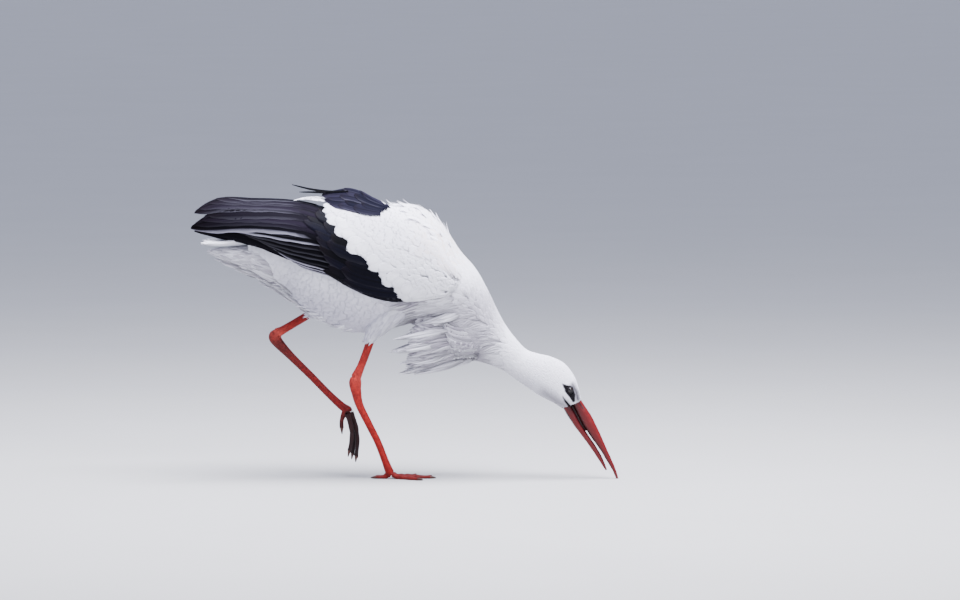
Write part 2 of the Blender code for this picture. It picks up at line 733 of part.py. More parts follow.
def make_leg(side, letter, planted, materials, body):
    """Make the thigh, shank, tarsus and foot of one leg, and its seat in the body."""
    thigh_rows, shank_rows, tarsus_rows = (
        (THIGH_PLANTED, SHANK_PLANTED, TARSUS_PLANTED) if planted
        else (THIGH_LIFTED, SHANK_LIFTED, TARSUS_LIFTED))
    red = materials["leg_red"]
    upper = thigh(letter, side, thigh_rows, materials["plumage_white"])
    shank = limb(f"shank_{letter}", shank_rows, side, red, SHANK_RINGS)
    tarsus = limb(f"tarsus_{letter}", tarsus_rows, side, red, TARSUS_RINGS)
    carve(shank, tarsus)
    carve(upper, shank)
    carve(body["trunk"], upper)
    if not planted:
        carve(body["rump"], upper, shank)
    made = {upper.name: upper, shank.name: shank, tarsus.name: tarsus}
    made.update(make_foot(side, letter, planted, materials, tarsus))
    return made


def centre_on_ground():
    """Move every mesh so that the middle of the whole box lies over the origin."""
    nodes = [item for item in bpy.data.objects if item.type == "MESH"]
    corners = np.array([tuple(vert.co) for node in nodes for vert in node.data.vertices])
    middle = (corners.min(axis=0) + corners.max(axis=0)) / 2
    for node in nodes:
        node.data.transform(Matrix.Translation((-middle[0], -middle[1], 0)))


def main():
    """Build the whole bird."""
    clear_scene()
    materials = make_materials()
    white, black = materials["plumage_white"], materials["plumage_black"]
    body = make_body(white)
    loose = make_loose_plumage(white, body)
    wings = {}
    for side, letter in ((RIGHT, "r"), (LEFT, "l")):
        eye = make_eye(side, letter, materials["eye_dark"])
        carve(body["head"], eye)
        wing = make_wing(side, letter, materials, body)
        keep_clear = [body["trunk"], body["rump"], *wing.values()]
        wings.update(make_shoulder(side, letter, black, keep_clear))
        wings.update(wing)
    make_bill(body["head"], materials["bill_red"])
    for side, letter, planted in ((RIGHT, "r", True), (LEFT, "l", False)):
        make_leg(side, letter, planted, materials, body)
    carve(loose["ruff"], bpy.data.objects["thigh_r"])
    centre_on_ground()


main()
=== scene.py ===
"""White stork, life size: the looks of a still museum model that walks with its bill on the ground.

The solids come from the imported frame. Here one skin takes the place of the flesh, vanes and locks of
feathers lie over it, and the bill, eyes, legs and claws get their fine shape and finish.
Lengths are millimetres in the bird's own frame (+X to the bill, +Y to its left, +Z up, ground at 0);
Shape.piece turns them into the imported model's metres.
"""

import logging
import math
from dataclasses import dataclass, field
from enum import Enum
from typing import Callable, Iterable, Optional

import bpy
import numpy as np
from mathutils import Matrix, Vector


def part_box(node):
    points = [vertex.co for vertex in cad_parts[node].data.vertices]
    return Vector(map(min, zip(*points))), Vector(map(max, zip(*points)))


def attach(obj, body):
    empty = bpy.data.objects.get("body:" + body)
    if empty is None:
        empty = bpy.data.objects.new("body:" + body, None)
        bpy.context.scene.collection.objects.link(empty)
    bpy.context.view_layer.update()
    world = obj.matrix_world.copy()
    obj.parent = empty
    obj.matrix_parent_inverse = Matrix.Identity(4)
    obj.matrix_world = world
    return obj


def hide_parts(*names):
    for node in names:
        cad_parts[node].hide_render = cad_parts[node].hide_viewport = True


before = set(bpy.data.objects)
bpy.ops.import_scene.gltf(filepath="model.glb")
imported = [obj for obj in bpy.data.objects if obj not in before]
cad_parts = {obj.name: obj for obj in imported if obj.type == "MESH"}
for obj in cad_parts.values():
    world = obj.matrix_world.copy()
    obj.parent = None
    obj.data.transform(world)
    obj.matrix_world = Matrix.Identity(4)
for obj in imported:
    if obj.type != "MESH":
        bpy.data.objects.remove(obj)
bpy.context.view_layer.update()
LOG = logging.getLogger("stork")
Array = np.ndarray
MM = 0.001
HEAD_FRONT = 369.0                                  # x of the feather edge at the top of the bill
SHIFT_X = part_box("head")[1].x / MM - HEAD_FRONT     # how far packing moved the bird along x
SIDES = {"r": -1, "l": 1}                           # planted side, lifted side

# --- The bird's outline -----------------------------------------------------------------------
# Rings from the edge of the bill to the rump: top x, top z, low x, low z, half width.
BODY = (
    (369, 159, 330, 144, 17), (364, 181, 314, 155, 23.5), (354, 211, 295, 165, 27.5),
    (333, 238.5, 280, 172.5, 29), (304, 253, 264, 183.5, 28), (279, 259, 248, 195, 26.5),
    (255, 267.5, 229, 207.5, 27), (233, 290, 206, 224, 31), (210, 321, 173, 238, 37),
    (192, 356, 128, 252, 46), (173, 395, 93, 280, 58), (150, 435, 70, 318, 71),
    (117, 474, 45, 324, 82), (76, 534, 10, 321, 89), (25, 566, -37, 310, 92),
    (-37, 567, -99, 303, 90), (-109, 568, -161, 324, 83), (-175, 583, -206, 352, 71),
    (-225, 576, -243, 388, 55), (-272, 552, -288, 414, 42),
)
RUFF = (
    (186, 275, 172, 246, 24), (160, 312, 128, 242, 46), (118, 348, 84, 232, 64),
    (72, 362, 40, 222, 74), (24, 350, 10, 224, 70),
)
VENT = (
    (-290, 492, -291, 413, 40), (-322, 484, -324, 434, 36), (-352, 480, -354, 446, 30),
    (-380, 477, -382, 459, 20),
)
TAIL = (
    (-291, 545, -292, 494, 35), (-322, 518, -323, 485, 37), (-360, 497.5, -360, 482, 38),
    (-396, 495.5, -396, 482.5, 45), (-414, 495.5, -414, 485.5, 48),
)
# Folded wing: x, height of the middle, half height, half width of the oval that it lies on.
WING_FORM = (
    (-440, 532, 32, 24), (-390, 531, 50, 41), (-300, 511, 70, 67), (-200, 477, 101, 93),
    (-100, 451, 124, 106), (0, 430, 138, 106), (70, 418, 130, 99), (104, 412, 112, 91),
    (130, 408, 98, 72),
)
# x, height of the lower edge, angle of the upper edge in degrees, thickness.
WING_EDGES = (
    (-440, 505, 80, 2.5), (-390, 499.5, 88, 3.5), (-300, 483, 88, 6), (-212, 441, 82, 9),
    (-140, 411, 61, 14), (-89, 384, 48, 18), (-27, 367, 38, 22), (25, 369, 29, 24),
    (76, 377, 19, 24), (125, 400, 8, 20),
)
WRIST_X = 122.0
# Rear edge of the white coverts and of the black great coverts: share up the wing and x.
COVERT_REAR = ((0, 6), (0.16, -2), (0.31, -37), (0.46, -70), (0.56, -108), (0.7, -138), (1, -160))
GREATER_REAR = ((0, -112), (1, -216))
SCALLOPS = 7                        # rounded feather ends along the white edge
# Black shoulder feathers: x, height of the top line, angle of the outer edge in degrees.
SHOULDER = (
    (-172, 592, 72), (-140, 598, 63), (-113, 602, 59), (-88, 596, 55), (-62, 582, 53),
    (-34, 569, 52.5), (-20, 563, 52),
)
# Middle plume of each side, from its start to its tip.
PLUMES = {
    "r": ((-112, 22, 596), (-150, 15, 595), (-192, 16, 600), (-228, 15, 608.5)),
    "l": ((-112, 24, 594), (-148, 20, 591), (-182, 24, 591), (-214, 26, 591)),
}
BILL_UPPER = (
    (362, 172, 345, 161, 14), (371, 156, 354, 144.5, 13), (388.5, 129, 368.5, 115.5, 11),
    (406.5, 92, 389, 84.5, 8.5), (418.5, 64.5, 406.5, 60, 6.3), (429.5, 40, 421, 36, 4.4),
    (438, 20, 432, 17.5, 3.0), (445, -1, 441, -3, 2.0),
)
BILL_LOWER = (
    (344, 156.5, 328, 151, 13), (352.3, 141.5, 337, 134, 12), (366, 115, 353.5, 109, 10),
    (381, 92, 371, 86, 7.8), (398, 67, 389, 61, 5.8), (411.5, 43, 403, 40, 4.0),
    (421, 19, 418, 17, 1.6),
)
MOUTH = (
    (340, 168, 335, 160, 8), (347.5, 161, 343, 154, 9), (356.5, 144, 351, 138.5, 8.5),
    (370.5, 115, 364.5, 112, 6.5), (379, 100, 375, 99, 3.5),
)
EYE_PLACE = (344.0, 17.5, 185.0)
# Legs: x, y out from the middle, z, fore-and-aft radius, sideways radius.
THIGHS = {
    "r": ((-8, 46, 365, 34, 28), (-34, 46, 338, 28, 24), (-56, 43, 312, 20, 17),
          (-65, 41, 298, 14.5, 13.5)),
    "l": ((-84, 48, 378, 38, 28), (-130, 50, 360, 32, 27), (-166, 48, 348, 21, 19),
          (-187, 46.5, 341, 14, 13.5)),
}
SHANKS = {
    "r": ((-61, 40, 302, 8, 7.5), (-68, 38.5, 284, 8.2, 7.6), (-78, 36, 256, 8, 7),
          (-87, 33.5, 233, 8.2, 7), (-96, 31.2, 213, 10.5, 8.5)),
    "l": ((-182, 47, 342.5, 7.8, 7.5), (-196, 45, 335.5, 8, 7.4), (-230, 42, 315.5, 8, 7),
          (-250, 40.4, 304, 8.6, 7.2), (-260, 39.4, 299, 10.5, 8.6)),
}
TARSI = {
    "r": ((-96.8, 31, 211.6, 10.8, 8.7), (-98, 30, 200, 12.6, 10.4), (-96, 28, 183, 10.4, 8.8),
          (-89.5, 24, 155, 8, 6.6), (-71, 18, 116, 7.3, 6), (-51.5, 11.5, 76, 7.1, 6),
          (-37, 7, 38, 7.4, 6.5), (-28, 3.6, 15, 8.5, 9), (-24, 3, 9, 7, 8)),
    "l": ((-260.8, 39.2, 298.6, 10.8, 8.8), (-265, 38, 290, 12.8, 10.6),
          (-257, 36.5, 277, 10.8, 9), (-231, 33, 250, 8, 6.6), (-190, 28.5, 210, 7.2, 5.9),
          (-154, 24.5, 173.5, 7.2, 6), (-128, 21.5, 149.5, 8, 7), (-115, 20, 140.5, 9, 9),
          (-111, 20, 136.5, 7.4, 8)),
}
HEELS = {"r": (-98.2, 30.5, 205, 11.4), "l": (-263, 38.6, 295, 11.6)}      # centre and radius
# Toe: turn from straight ahead in degrees (positive is inward), length with no claw, start.
TOES = {"middle": (2, 80, 2), "inner": (36, 60, 6), "outer": (-34, 67, 6), "hind": (176, 31, 8)}
TOE_RADIUS = 5.6
FOOT_CENTRE = (-24.0, 3.0)
HANG_START = (-112.0, 20.0, 136.0)      # knuckle of the lifted foot
HANGING = {                             # start and reach of its toes from that knuckle
    "middle": ((4, 0, 0), (11, -1, -90)),
    "inner": ((-3, -7, -4), (4, -7, -74)),
    "outer": ((-1, 7, -4), (8, 6, -82)),
    "hind": ((-9, 0, -1), (-6, -1, -31)),
}


# --- Numbers ----------------------------------------------------------------------------------
def linear(code: str) -> tuple[float, float, float]:
    """Turn an sRGB hex colour into linear light.

    Args:
        code: six hex digits after a hash sign.
    Returns:
        Red, green and blue from 0 to 1: the sRGB curve undone on each.
    """
    parts = [int(code[at:at + 2], 16) / 255 for at in (1, 3, 5)]
    return tuple(c / 12.92 if c <= 0.04045 else ((c + 0.055) / 1.055) ** 2.4 for c in parts)


def tone(code: str) -> Array:
    """An sRGB hex colour as an array of linear light."""
    return np.array(linear(code))


def follow(keys: tuple, at: Array) -> Array:
    """Read a smooth curve through rows of keys whose first column is where each row lies.

    Cubic Hermite pieces with the rows' own gradients, carried on straight past both ends.

    Args:
        keys: rows of place and values.
        at: places to read.
    Returns:
        One row of values for each place.
    """
    table = np.asarray(keys, float)
    table = table[np.argsort(table[:, 0])]
    places, values = table[:, 0], table[:, 1:]
    slopes = np.gradient(values, places, axis=0)
    at = np.asarray(at, float).ravel()
    inside = np.clip(at, places[0], places[-1])
    row = np.clip(np.searchsorted(places, inside) - 1, 0, len(places) - 2)
    span = (places[row + 1] - places[row])[:, None]
    t = (inside - places[row])[:, None] / span
    start = values[row] * (2 * t**3 - 3 * t**2 + 1) + slopes[row] * span * (t**3 - 2 * t**2 + t)
    end = values[row + 1] * (3 * t**2 - 2 * t**3) + slopes[row + 1] * span * (t**3 - t**2)
    past = (at - inside)[:, None]
    return start + end + past * np.where(past > 0, slopes[-1], slopes[0])


def numbered(rows: Iterable[tuple]) -> list[tuple]:
    """Put each row's number in front of it, so that follow reads between rows."""
    return [(number, *row) for number, row in enumerate(rows)]


def unit(vectors: Array) -> Array:
    """Scale each vector of the last axis to length one."""
    return vectors / np.maximum(np.linalg.norm(vectors, axis=-1, keepdims=True), 1e-9)


def dot(first: Array, second: Array) -> Array:
    """Dot product over the last axis, kept as a column."""
    return (first * second).sum(axis=-1, keepdims=True)


def ease(value: Array, low: float, high: float) -> Array:
    """Smooth step: 0 below low, 1 above high, 3t^2 - 2t^3 between; low may be above high."""
    t = np.clip((np.asarray(value, float) - low) / (high - low), 0, 1)
    return t * t * (3 - 2 * t)


def bell(value: Array, middle: Array | float, width: float, steepness: int = 2) -> Array:
    """Bump of height 1 round a middle: e to the minus (distance / width)^steepness."""
    return np.exp(-((value - middle) / width) ** steepness)


def mix(first: Array, second: Array, share: Array) -> Array:
    """Blend two colours or arrays of colours by a share for each point."""
    share = np.asarray(share, float)[..., None]
    return np.asarray(first) * (1 - share) + np.asarray(second) * share


def crossed(first: Array, second: Array) -> tuple[Array, Array]:
    """Grid of two ranges: the first changes from row to row, the second along each row."""
    return tuple(np.meshgrid(first, second, indexing="ij"))


def turns(count: int) -> Array:
    """Even turns round a circle, from 0 to just short of a full one."""
    return np.linspace(0, 2 * math.pi, count, endpoint=False)


def power(value: Array, exponent: float) -> Array:
    """Signed power, which keeps the sign of its base."""
    return np.sign(value) * np.abs(value) ** exponent


# --- Surfaces that feathers lie on ------------------------------------------------------------
class Surface:
    """A stretch of the bird's outline as a function of two parameters, u along and v across."""

    facing: float = 1.0
    step: tuple[float, float] = (0.01, 0.01)
    u_range: tuple[float, float] = (0.0, 1.0)
    v_range: tuple[float, float] = (0.0, 2 * math.pi)

    def at(self, u: Array, v: Array) -> Array:
        """Points for flat arrays of u and v."""
        raise NotImplementedError

    def frame(self, u: Array, v: Array) -> tuple[Array, Array, Array, Array]:
        """Points, slopes along u and v, and outward normals.

        The slopes are central differences, and the normal is their cross product.

        Args:
            u, v: arrays of one shape.
        Returns:
            Points, slope over u, slope over v and unit normal, each with a last axis of three.
        """
        shape = np.shape(u)
        u, v = np.ravel(u), np.ravel(v)
        hu, hv = self.step
        along = (self.at(u + hu, v) - self.at(u - hu, v)) / (2 * hu)
        across = (self.at(u, v + hv) - self.at(u, v - hv)) / (2 * hv)
        normal = unit(np.cross(along, across)) * self.facing
        return tuple(part.reshape(*shape, 3) for part in (self.at(u, v), along, across, normal))

    def face_outwards(self) -> None:
        """Set facing so that the normals of a closed tube point away from its middle."""
        u, v = np.full(2, sum(self.u_range) / 2), np.array([0.3, 0.3 + math.pi])
        point, _, _, normal = self.frame(u, v)
        self.facing = float(np.sign(dot(normal, point - point.mean(axis=0)).sum()))

    def wound(self, rings: Array) -> Array:
        """Rings in the order that turns a tube's faces outwards."""
        return rings if self.facing < 0 else rings[:, ::-1]

    def share_of(self, u: Array, v: Array) -> Array:
        """Place of u and v in the unit square, as a closed coordinate for the bake map."""
        low_u, high_u = self.u_range
        low_v, high_v = self.v_range
        across = (v - low_v) / (high_v - low_v)
        return np.stack([np.clip((u - low_u) / (high_u - low_u), 0.004, 0.996),
                         0.004 + 0.992 * (across % 1.0)], axis=-1)


class Loft(Surface):
    """Ovals through rows of top x, top z, low x, low z and half width; v is the turn of the oval."""

    step = (0.02, 0.01)

    def __init__(self, rows: tuple, fullness: float = 2.1) -> None:
        """Keep the rows; fullness 2 is an ellipse and more is boxier."""
        self.rows = numbered(rows)
        self.fullness = fullness
        self.u_range = (0.0, len(rows) - 1.0)
        self.face_outwards()

    def at(self, u: Array, v: Array) -> Array:
        """Middle of the ring, plus sine^(2/f) along top to low, plus cosine^(2/f) across."""
        top_x, top_z, low_x, low_z, half = follow(self.rows, u).T
        up = power(np.sin(v), 2 / self.fullness)
        out = power(np.cos(v), 2 / self.fullness)
        x = (top_x + low_x) / 2 + up * (top_x - low_x) / 2
        z = (top_z + low_z) / 2 + up * (top_z - low_z) / 2
        return np.stack([x, out * half, z], axis=1)

    def place_of(self, points: Array) -> tuple[Array, Array]:
        """Ring number and turn of points: the ring by x, then the angle about its middle."""
        keys = np.array(self.rows, float)
        u = np.interp(-points[:, 0], -(keys[:, 1] + keys[:, 3]) / 2, keys[:, 0])
        _, top_z, _, low_z, half = follow(self.rows, u).T
        rise = (2 * points[:, 2] - top_z - low_z) / (top_z - low_z)
        return u, np.arctan2(rise, points[:, 1] / half) % (2 * math.pi)


class Limb(Surface):
    """Oval tube along a path; rows hold x, y, z, fore-and-aft radius and sideways radius."""

    step = (0.01, 0.01)

    def __init__(self, rows: tuple, side: int) -> None:
        """Keep the rows with y turned to the limb's side."""
        self.rows = numbered((x, y * side, z, fore, wide) for x, y, z, fore, wide in rows)
        self.u_range = (0.0, len(rows) - 1.0)
        self.face_outwards()

    def centre(self, u: Array) -> Array:
        """Points of the middle line."""
        return follow(self.rows, u)[:, :3]

    def at(self, u: Array, v: Array) -> Array:
        """Middle line plus sine times the sideways radius, plus cosine times the fore radius."""
        forward = unit(self.centre(u + 0.02) - self.centre(u - 0.02))
        guide = np.where(np.abs(forward[:, 1:2]) > 0.9, [[0, 0, 1.0]], [[0, 1.0, 0]])
        across = unit(guide - dot(guide, forward) * forward)
        ahead = np.cross(across, forward)
        fore, wide = follow(self.rows, u)[:, 3:].T
        return (self.centre(u) + across * (wide * np.sin(v))[:, None]
                + ahead * (fore * np.cos(v))[:, None])


class Pad(Surface):
    """A patch on one side of the bird: u is millimetres back, v runs from lower to upper edge."""

    v_range = (0.0, 1.0)

    def __init__(self, side: int) -> None:
        """Keep the side, whose sign also turns the normals outwards."""
        self.side = side
        self.facing = float(side)


class WingPad(Pad):
    """Outside of one folded wing, back from the wrist.

    The pad is rounded over at its front, lower and upper edges by sinking towards the body.
    """

    u_range = (-10.0, 575.0)
    step = (1.0, 0.004)
    rounding = 26.0             # radius of the rounded edges
    breadth = 160.0             # from the lower to the upper edge
    most = 1.4                  # how far past an edge the rounding still grows, in radii

    def angles(self, x: Array) -> tuple[Array, Array]:
        """Angles of the lower and upper edges on the oval form."""
        middle, half_height, _ = follow(WING_FORM, x).T
        low_z, up_angle, _ = follow(WING_EDGES, x).T
        low = np.arcsin(np.clip((low_z - middle) / half_height, -0.95, 0.95))
        return low, np.radians(up_angle)

    def front_edge(self, v: Array) -> Array:
        """Millimetres from the wrist back to the pad's bowed front edge."""
        return 22 * np.abs(2 * v - 1) ** 2.4 + 24 * np.clip(v, 0, 1) ** 3

    def sink(self, u: Array, v: Array) -> Array:
        """Depth below the oval form near the edges: the sagitta of a round edge."""
        fade = ease(u, 420, 240)
        from_front = np.clip(1 - (u - self.front_edge(v)) / self.rounding, 0, self.most)
        from_low = np.clip(1 - v * self.breadth / (0.7 * self.rounding), 0, self.most) * fade
        from_top = np.clip(1 - (1 - v) * self.breadth / self.rounding, 0, self.most) * fade
        return 15 * from_front**2 + 9 * from_low**2 * ease(u, 0, 60) + 13 * from_top**2

    def at(self, u: Array, v: Array) -> Array:
        """Point of the oval at x = wrist - u, at an angle between the two edges."""
        x = WRIST_X - u
        middle, half_height, half_width = follow(WING_FORM, x).T
        low, high = self.angles(x)
        angle = low + (high - low) * v
        sink = self.sink(u, v)
        y = (half_width - sink) * np.cos(angle)
        z = middle + (half_height - sink) * np.sin(angle)
        return np.stack([x, self.side * y, z], axis=1)


class ShoulderPad(Pad):
    """Roof of black shoulder feathers on one side, back from its front edge."""

    u_range = (-10.0, 200.0)
    step = (1.0, 0.01)
    front = -22.0               # x of the front edge
    over_wing = 2.5             # height over the wing's oval
    steepest = 89.0             # angle of the upper edge in degrees

    def at(self, u: Array, v: Array) -> Array:
        """Point between the wing's oval at the outer edge and the raised line of the back."""
        x = self.front - u
        top, edge = follow(SHOULDER, x).T
        middle, half_height, half_width = follow(WING_FORM, x).T
        half_height, half_width = half_height + self.over_wing, half_width + self.over_wing
        angle = np.radians(edge + (self.steepest - edge) * v)
        height = half_height + (top - middle - half_height) * ease(v, -0.1, 0.8)
        return np.stack([x, self.side * half_width * np.cos(angle),
                         middle + height * np.sin(angle)], axis=1)


# --- Meshes -----------------------------------------------------------------------------------
@dataclass
class Shape:
    """Points in millimetres, faces as arrays of equal-sided faces, and what the points carry."""

    points: Array
    faces: list[Array]
    colours: Optional[Array] = None
    maps: dict[str, Array] = field(default_factory=dict)            # one row for each point
    corner_maps: dict[str, Array] = field(default_factory=dict)     # one row for each corner
    normals: Optional[Array] = None     # of the body under each point, for soft shading

    @staticmethod
    def joined(shapes: list["Shape"]) -> "Shape":
        """Join shapes into one; all carry the same layers."""
        def together(name: str) -> Optional[Array]:
            """One layer of all the shapes, where they carry it."""
            layers = [getattr(shape, name) for shape in shapes]
            return None if layers[0] is None else np.concatenate(layers)

        starts = np.cumsum([0] + [len(shape.points) for shape in shapes[:-1]])
        faces = [part + start for shape, start in zip(shapes, starts) for part in shape.faces]
        maps = {name: np.concatenate([shape.maps[name] for shape in shapes])
                for name in shapes[0].maps}
        return Shape(together("points"), faces, together("colours"), maps,
                     normals=together("normals"))

    def plain(self) -> "Shape":
        """The same points and faces with nothing on them."""
        return Shape(self.points, self.faces)

    def piece(self, name: str, material: bpy.types.Material,
              softness: float = 0.0) -> bpy.types.Object:
        """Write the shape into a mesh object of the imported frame.

        Args:
            name: the piece's name.
            material: its finish.
            softness: how far the shading follows the body under the feathers, from 0 to 1.
        Returns:
            The linked object, smooth shaded, with its place in its mesh.
        """
        mesh = bpy.data.meshes.new(name)
        corners = np.concatenate([part.ravel() for part in self.faces]).astype(np.int32)
        sizes = np.concatenate([np.full(len(part), part.shape[1]) for part in self.faces])
        starts = np.concatenate([[0], np.cumsum(sizes)[:-1]]).astype(np.int32)
        places = (self.points + [SHIFT_X, 0, 0]) * MM
        mesh.vertices.add(len(places))
        mesh.vertices.foreach_set("co", places.astype(np.float32).ravel())
        mesh.loops.add(len(corners))
        mesh.loops.foreach_set("vertex_index", corners)
        mesh.polygons.add(len(sizes))
        mesh.polygons.foreach_set("loop_start", starts)
        mesh.polygons.foreach_set("use_smooth", np.ones(len(sizes), bool))
        mesh.update(calc_edges=True)
        if self.colours is not None:
            paint(mesh, self.colours)
        of_corners = {label: values[corners] for label, values in self.maps.items()}
        for label, values in (of_corners | self.corner_maps).items():
            layer = mesh.uv_layers.new(name=label)
            layer.uv.foreach_set("vector", values.astype(np.float32).ravel())
        if softness and self.normals is not None:
            own = np.empty(len(self.points) * 3, np.float32)
            mesh.vertex_normals.foreach_get("vector", own)
            soft = self.normals * softness + own.reshape(-1, 3) * (1 - softness)
            mesh.normals_split_custom_set_from_vertices(unit(soft).astype(np.float32))
        mesh.materials.append(material)
        piece = bpy.data.objects.new(name, mesh)
        bpy.context.scene.collection.objects.link(piece)
        return piece


def paint(mesh: bpy.types.Mesh, colours: Array) -> None:
    """Give a mesh its Tint colours, one for each point."""
    layer = mesh.color_attributes.new("Tint", "FLOAT_COLOR", "POINT")
    values = np.concatenate([colours, np.ones((len(colours), 1))], axis=1)
    layer.data.foreach_set("color", values.astype(np.float32).ravel())


def capped(colours: Array) -> Array:
    """Colours of a tube's points: those of its rings, then of the middles of its two ends."""
    return np.concatenate([colours.reshape(-1, 3), colours[:1, 0], colours[-1:, 0]])


def tube(rings: Array) -> Shape:
    """Close a stack of equal rings with a fan of faces at each end, and unroll it into maps.

    The bake map has the girth across and the rows upwards; the Barbs map has both in
    millimetres. Both are kept for each corner, so that the seam has no face across it.

    Args:
        rings: rows by sides by three.
    Returns:
        A closed shape with corner maps.
    """
    rows, sides, _ = rings.shape
    row, side = (part.ravel() for part in crossed(np.arange(rows - 1), np.arange(sides)))
    near, beside = row * sides + side, row * sides + (side + 1) % sides
    quads = np.stack([near, beside, beside + sides, near + sides], axis=-1)
    around = np.arange(sides)
    after, end = (around + 1) % sides, (rows - 1) * sides
    first, last = rows * sides, rows * sides + 1
    fans = np.concatenate([np.stack([np.full(sides, first), after, around], axis=1),
                           np.stack([np.full(sides, last), end + around, end + after], axis=1)])
    across = np.concatenate([np.stack([side, side + 1, side + 1, side], axis=1).ravel(),
                             np.stack([around + 0.5, around + 1, around], axis=1).ravel(),
                             np.stack([around + 0.5, around, around + 1], axis=1).ravel()])
    up = np.concatenate([np.stack([row, row, row + 1, row + 1], axis=1).ravel(),
                         np.tile([-0.5, 0, 0], sides), np.tile([rows - 0.5, rows - 1, rows - 1],
                                                               sides)])
    middles = rings.mean(axis=1)
    length = np.linalg.norm(np.diff(middles, axis=0), axis=1).sum()
    girth = np.linalg.norm(np.diff(rings[rows // 3], axis=0), axis=1).sum()
    unrolled = np.stack([across / sides, (up + 0.5) / rows], axis=1)
    points = np.concatenate([rings.reshape(-1, 3), middles[:1], middles[-1:]])
    return Shape(points, [quads, fans], None, {},
                 {"OFBake": 0.01 + 0.98 * unrolled, "Barbs": unrolled * [girth, length]})


def finish_piece(piece: bpy.types.Object, slot: str, *nodes: str) -> None:
    """Ride the piece on the bird, hide the solids that it stands for, and log it."""
    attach(piece, "root")
    if nodes:
        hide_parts(*nodes)
    LOG.info("%s: %d faces", piece.name, len(piece.data.polygons))


# --- Feathers ---------------------------------------------------------------------------------
class Tip(Enum):
    """How a vane ends."""

    ROUND = "round"
    LANCE = "lance"
    RAGGED = "ragged"
    QUILL = "quill"


TURNED = [0, 3, 2, 1]       # order of a quad's corners seen from behind, on the same diagonal


@dataclass(frozen=True)
class Vane:
    """One kind of feather: a closed blade of rows along its shaft and columns across it."""

    rows: int
    columns: int
    tip: Tip
    thickness: float = 0.35     # at the shaft
    arch: float = 0.14          # drop of the edges as a share of the half width
    notch: float = 0.0          # deepest cut into the end, as a share of the length
    ridge: float = 0.0          # height of the shaft over the vane
    dusk: float = 0.0           # how much darker the middle is than the edges, less at the tip
    dip: float = 0.0            # how far the tip bends down onto what lies under it

    def stations(self) -> Array:
        """Places of the rows from root 0 to tip 1, closer together towards the tip."""
        return 1 - (1 - np.linspace(0, 1, self.rows)) ** 1.35

    def columns_at(self) -> Array:
        """Places of the columns from -1 to 1; a ridged vane has two close beside its shaft."""
        even = np.linspace(-1, 1, self.columns)
        return np.sign(even) * np.abs(even) ** (1.6 if self.ridge else 1.0)

    def outline(self) -> Array:
        """Half width of each row as a share of the widest: sine rise, then a fall for each tip."""
        s = self.stations()
        widest, root, blunt, sharp = {
            Tip.ROUND: (0.62, 0.50, 2.4, 0.5),
            Tip.LANCE: (0.34, 0.55, 1.25, 1.0),
            Tip.RAGGED: (0.60, 0.50, 2.6, 0.62),
            Tip.QUILL: (0.72, 0.60, 2.0, 0.72),
        }[self.tip]
        rise = root + (1 - root) * np.sin(np.clip(s / widest, 0, 1) * math.pi / 2)
        fall = (1 - np.clip((s - widest) / (1 - widest), 0, 1) ** blunt) ** sharp
        end = {Tip.ROUND: 0.34, Tip.LANCE: 0.05, Tip.RAGGED: 0.40, Tip.QUILL: 0.10}[self.tip]
        return rise * np.maximum(fall, end)

    def template(self) -> "Template":
        """Points and faces of one blade.

        The upper grid has all rows and columns; the underside shares the rim and has only the
        points within it.
        """
        rows, columns = self.rows, self.columns
        upper = np.arange(rows * columns).reshape(rows, columns)
        under = upper.copy()
        inner = (rows - 2) * (columns - 2)
        under[1:-1, 1:-1] = rows * columns + np.arange(inner).reshape(rows - 2, columns - 2)

        def quads(grid: Array) -> Array:
            """Quads of a grid of point numbers, whose diagonals run to the blade's middle.

            No half of a corner quad then lies wholly on the rim, where both sides meet.
            """
            cells = np.stack([grid[:-1, :-1], grid[1:, :-1], grid[1:, 1:], grid[:-1, 1:]],
                             axis=-1)
            first = 2 * np.arange(rows - 1)[:, None] < rows - 2
            left = 2 * np.arange(columns - 1)[None] < columns - 2
            other = first != left
            cells[other] = np.roll(cells[other], 1, axis=-1)
            return cells.reshape(-1, 4)

        row, column = np.divmod(np.arange(rows * columns), columns)
        inner_row, inner_column = np.divmod(np.arange(inner), columns - 2)
        row = np.concatenate([row, inner_row + 1])
        column = np.concatenate([column, inner_column + 1])
        return Template(row, column, np.arange(len(row)) >= rows * columns, self.stations()[row],
                        self.columns_at()[column], self.outline()[row],
                        np.concatenate([quads(upper), quads(under)[:, TURNED]]))


@dataclass(frozen=True)
class Template:
    """Every point of one blade: its row, column, side and shares, and the blade's faces."""

    row: Array
    column: Array
    under: Array        # true on the underside
    along: Array        # 0 at the root, 1 at the tip
    across: Array       # -1 to 1
    outline: Array      # half width as a share of the widest
    quads: Array

    def patch(self) -> Array:
        """Bake map of a small feather: a tiny patch round the place of its root."""
        return np.stack([self.along - 0.5, self.across / 2], axis=-1) * 0.003

    def strips(self, count: int) -> Array:
        """Bake map of long feathers: each of the count has a strip of its own."""
        order = np.arange(count)[:, None]
        along = np.broadcast_to(self.along, (count, len(self.along)))
        return np.stack([0.01 + 0.98 * along, (order + 0.5 + 0.42 * self.across) / count], axis=-1)


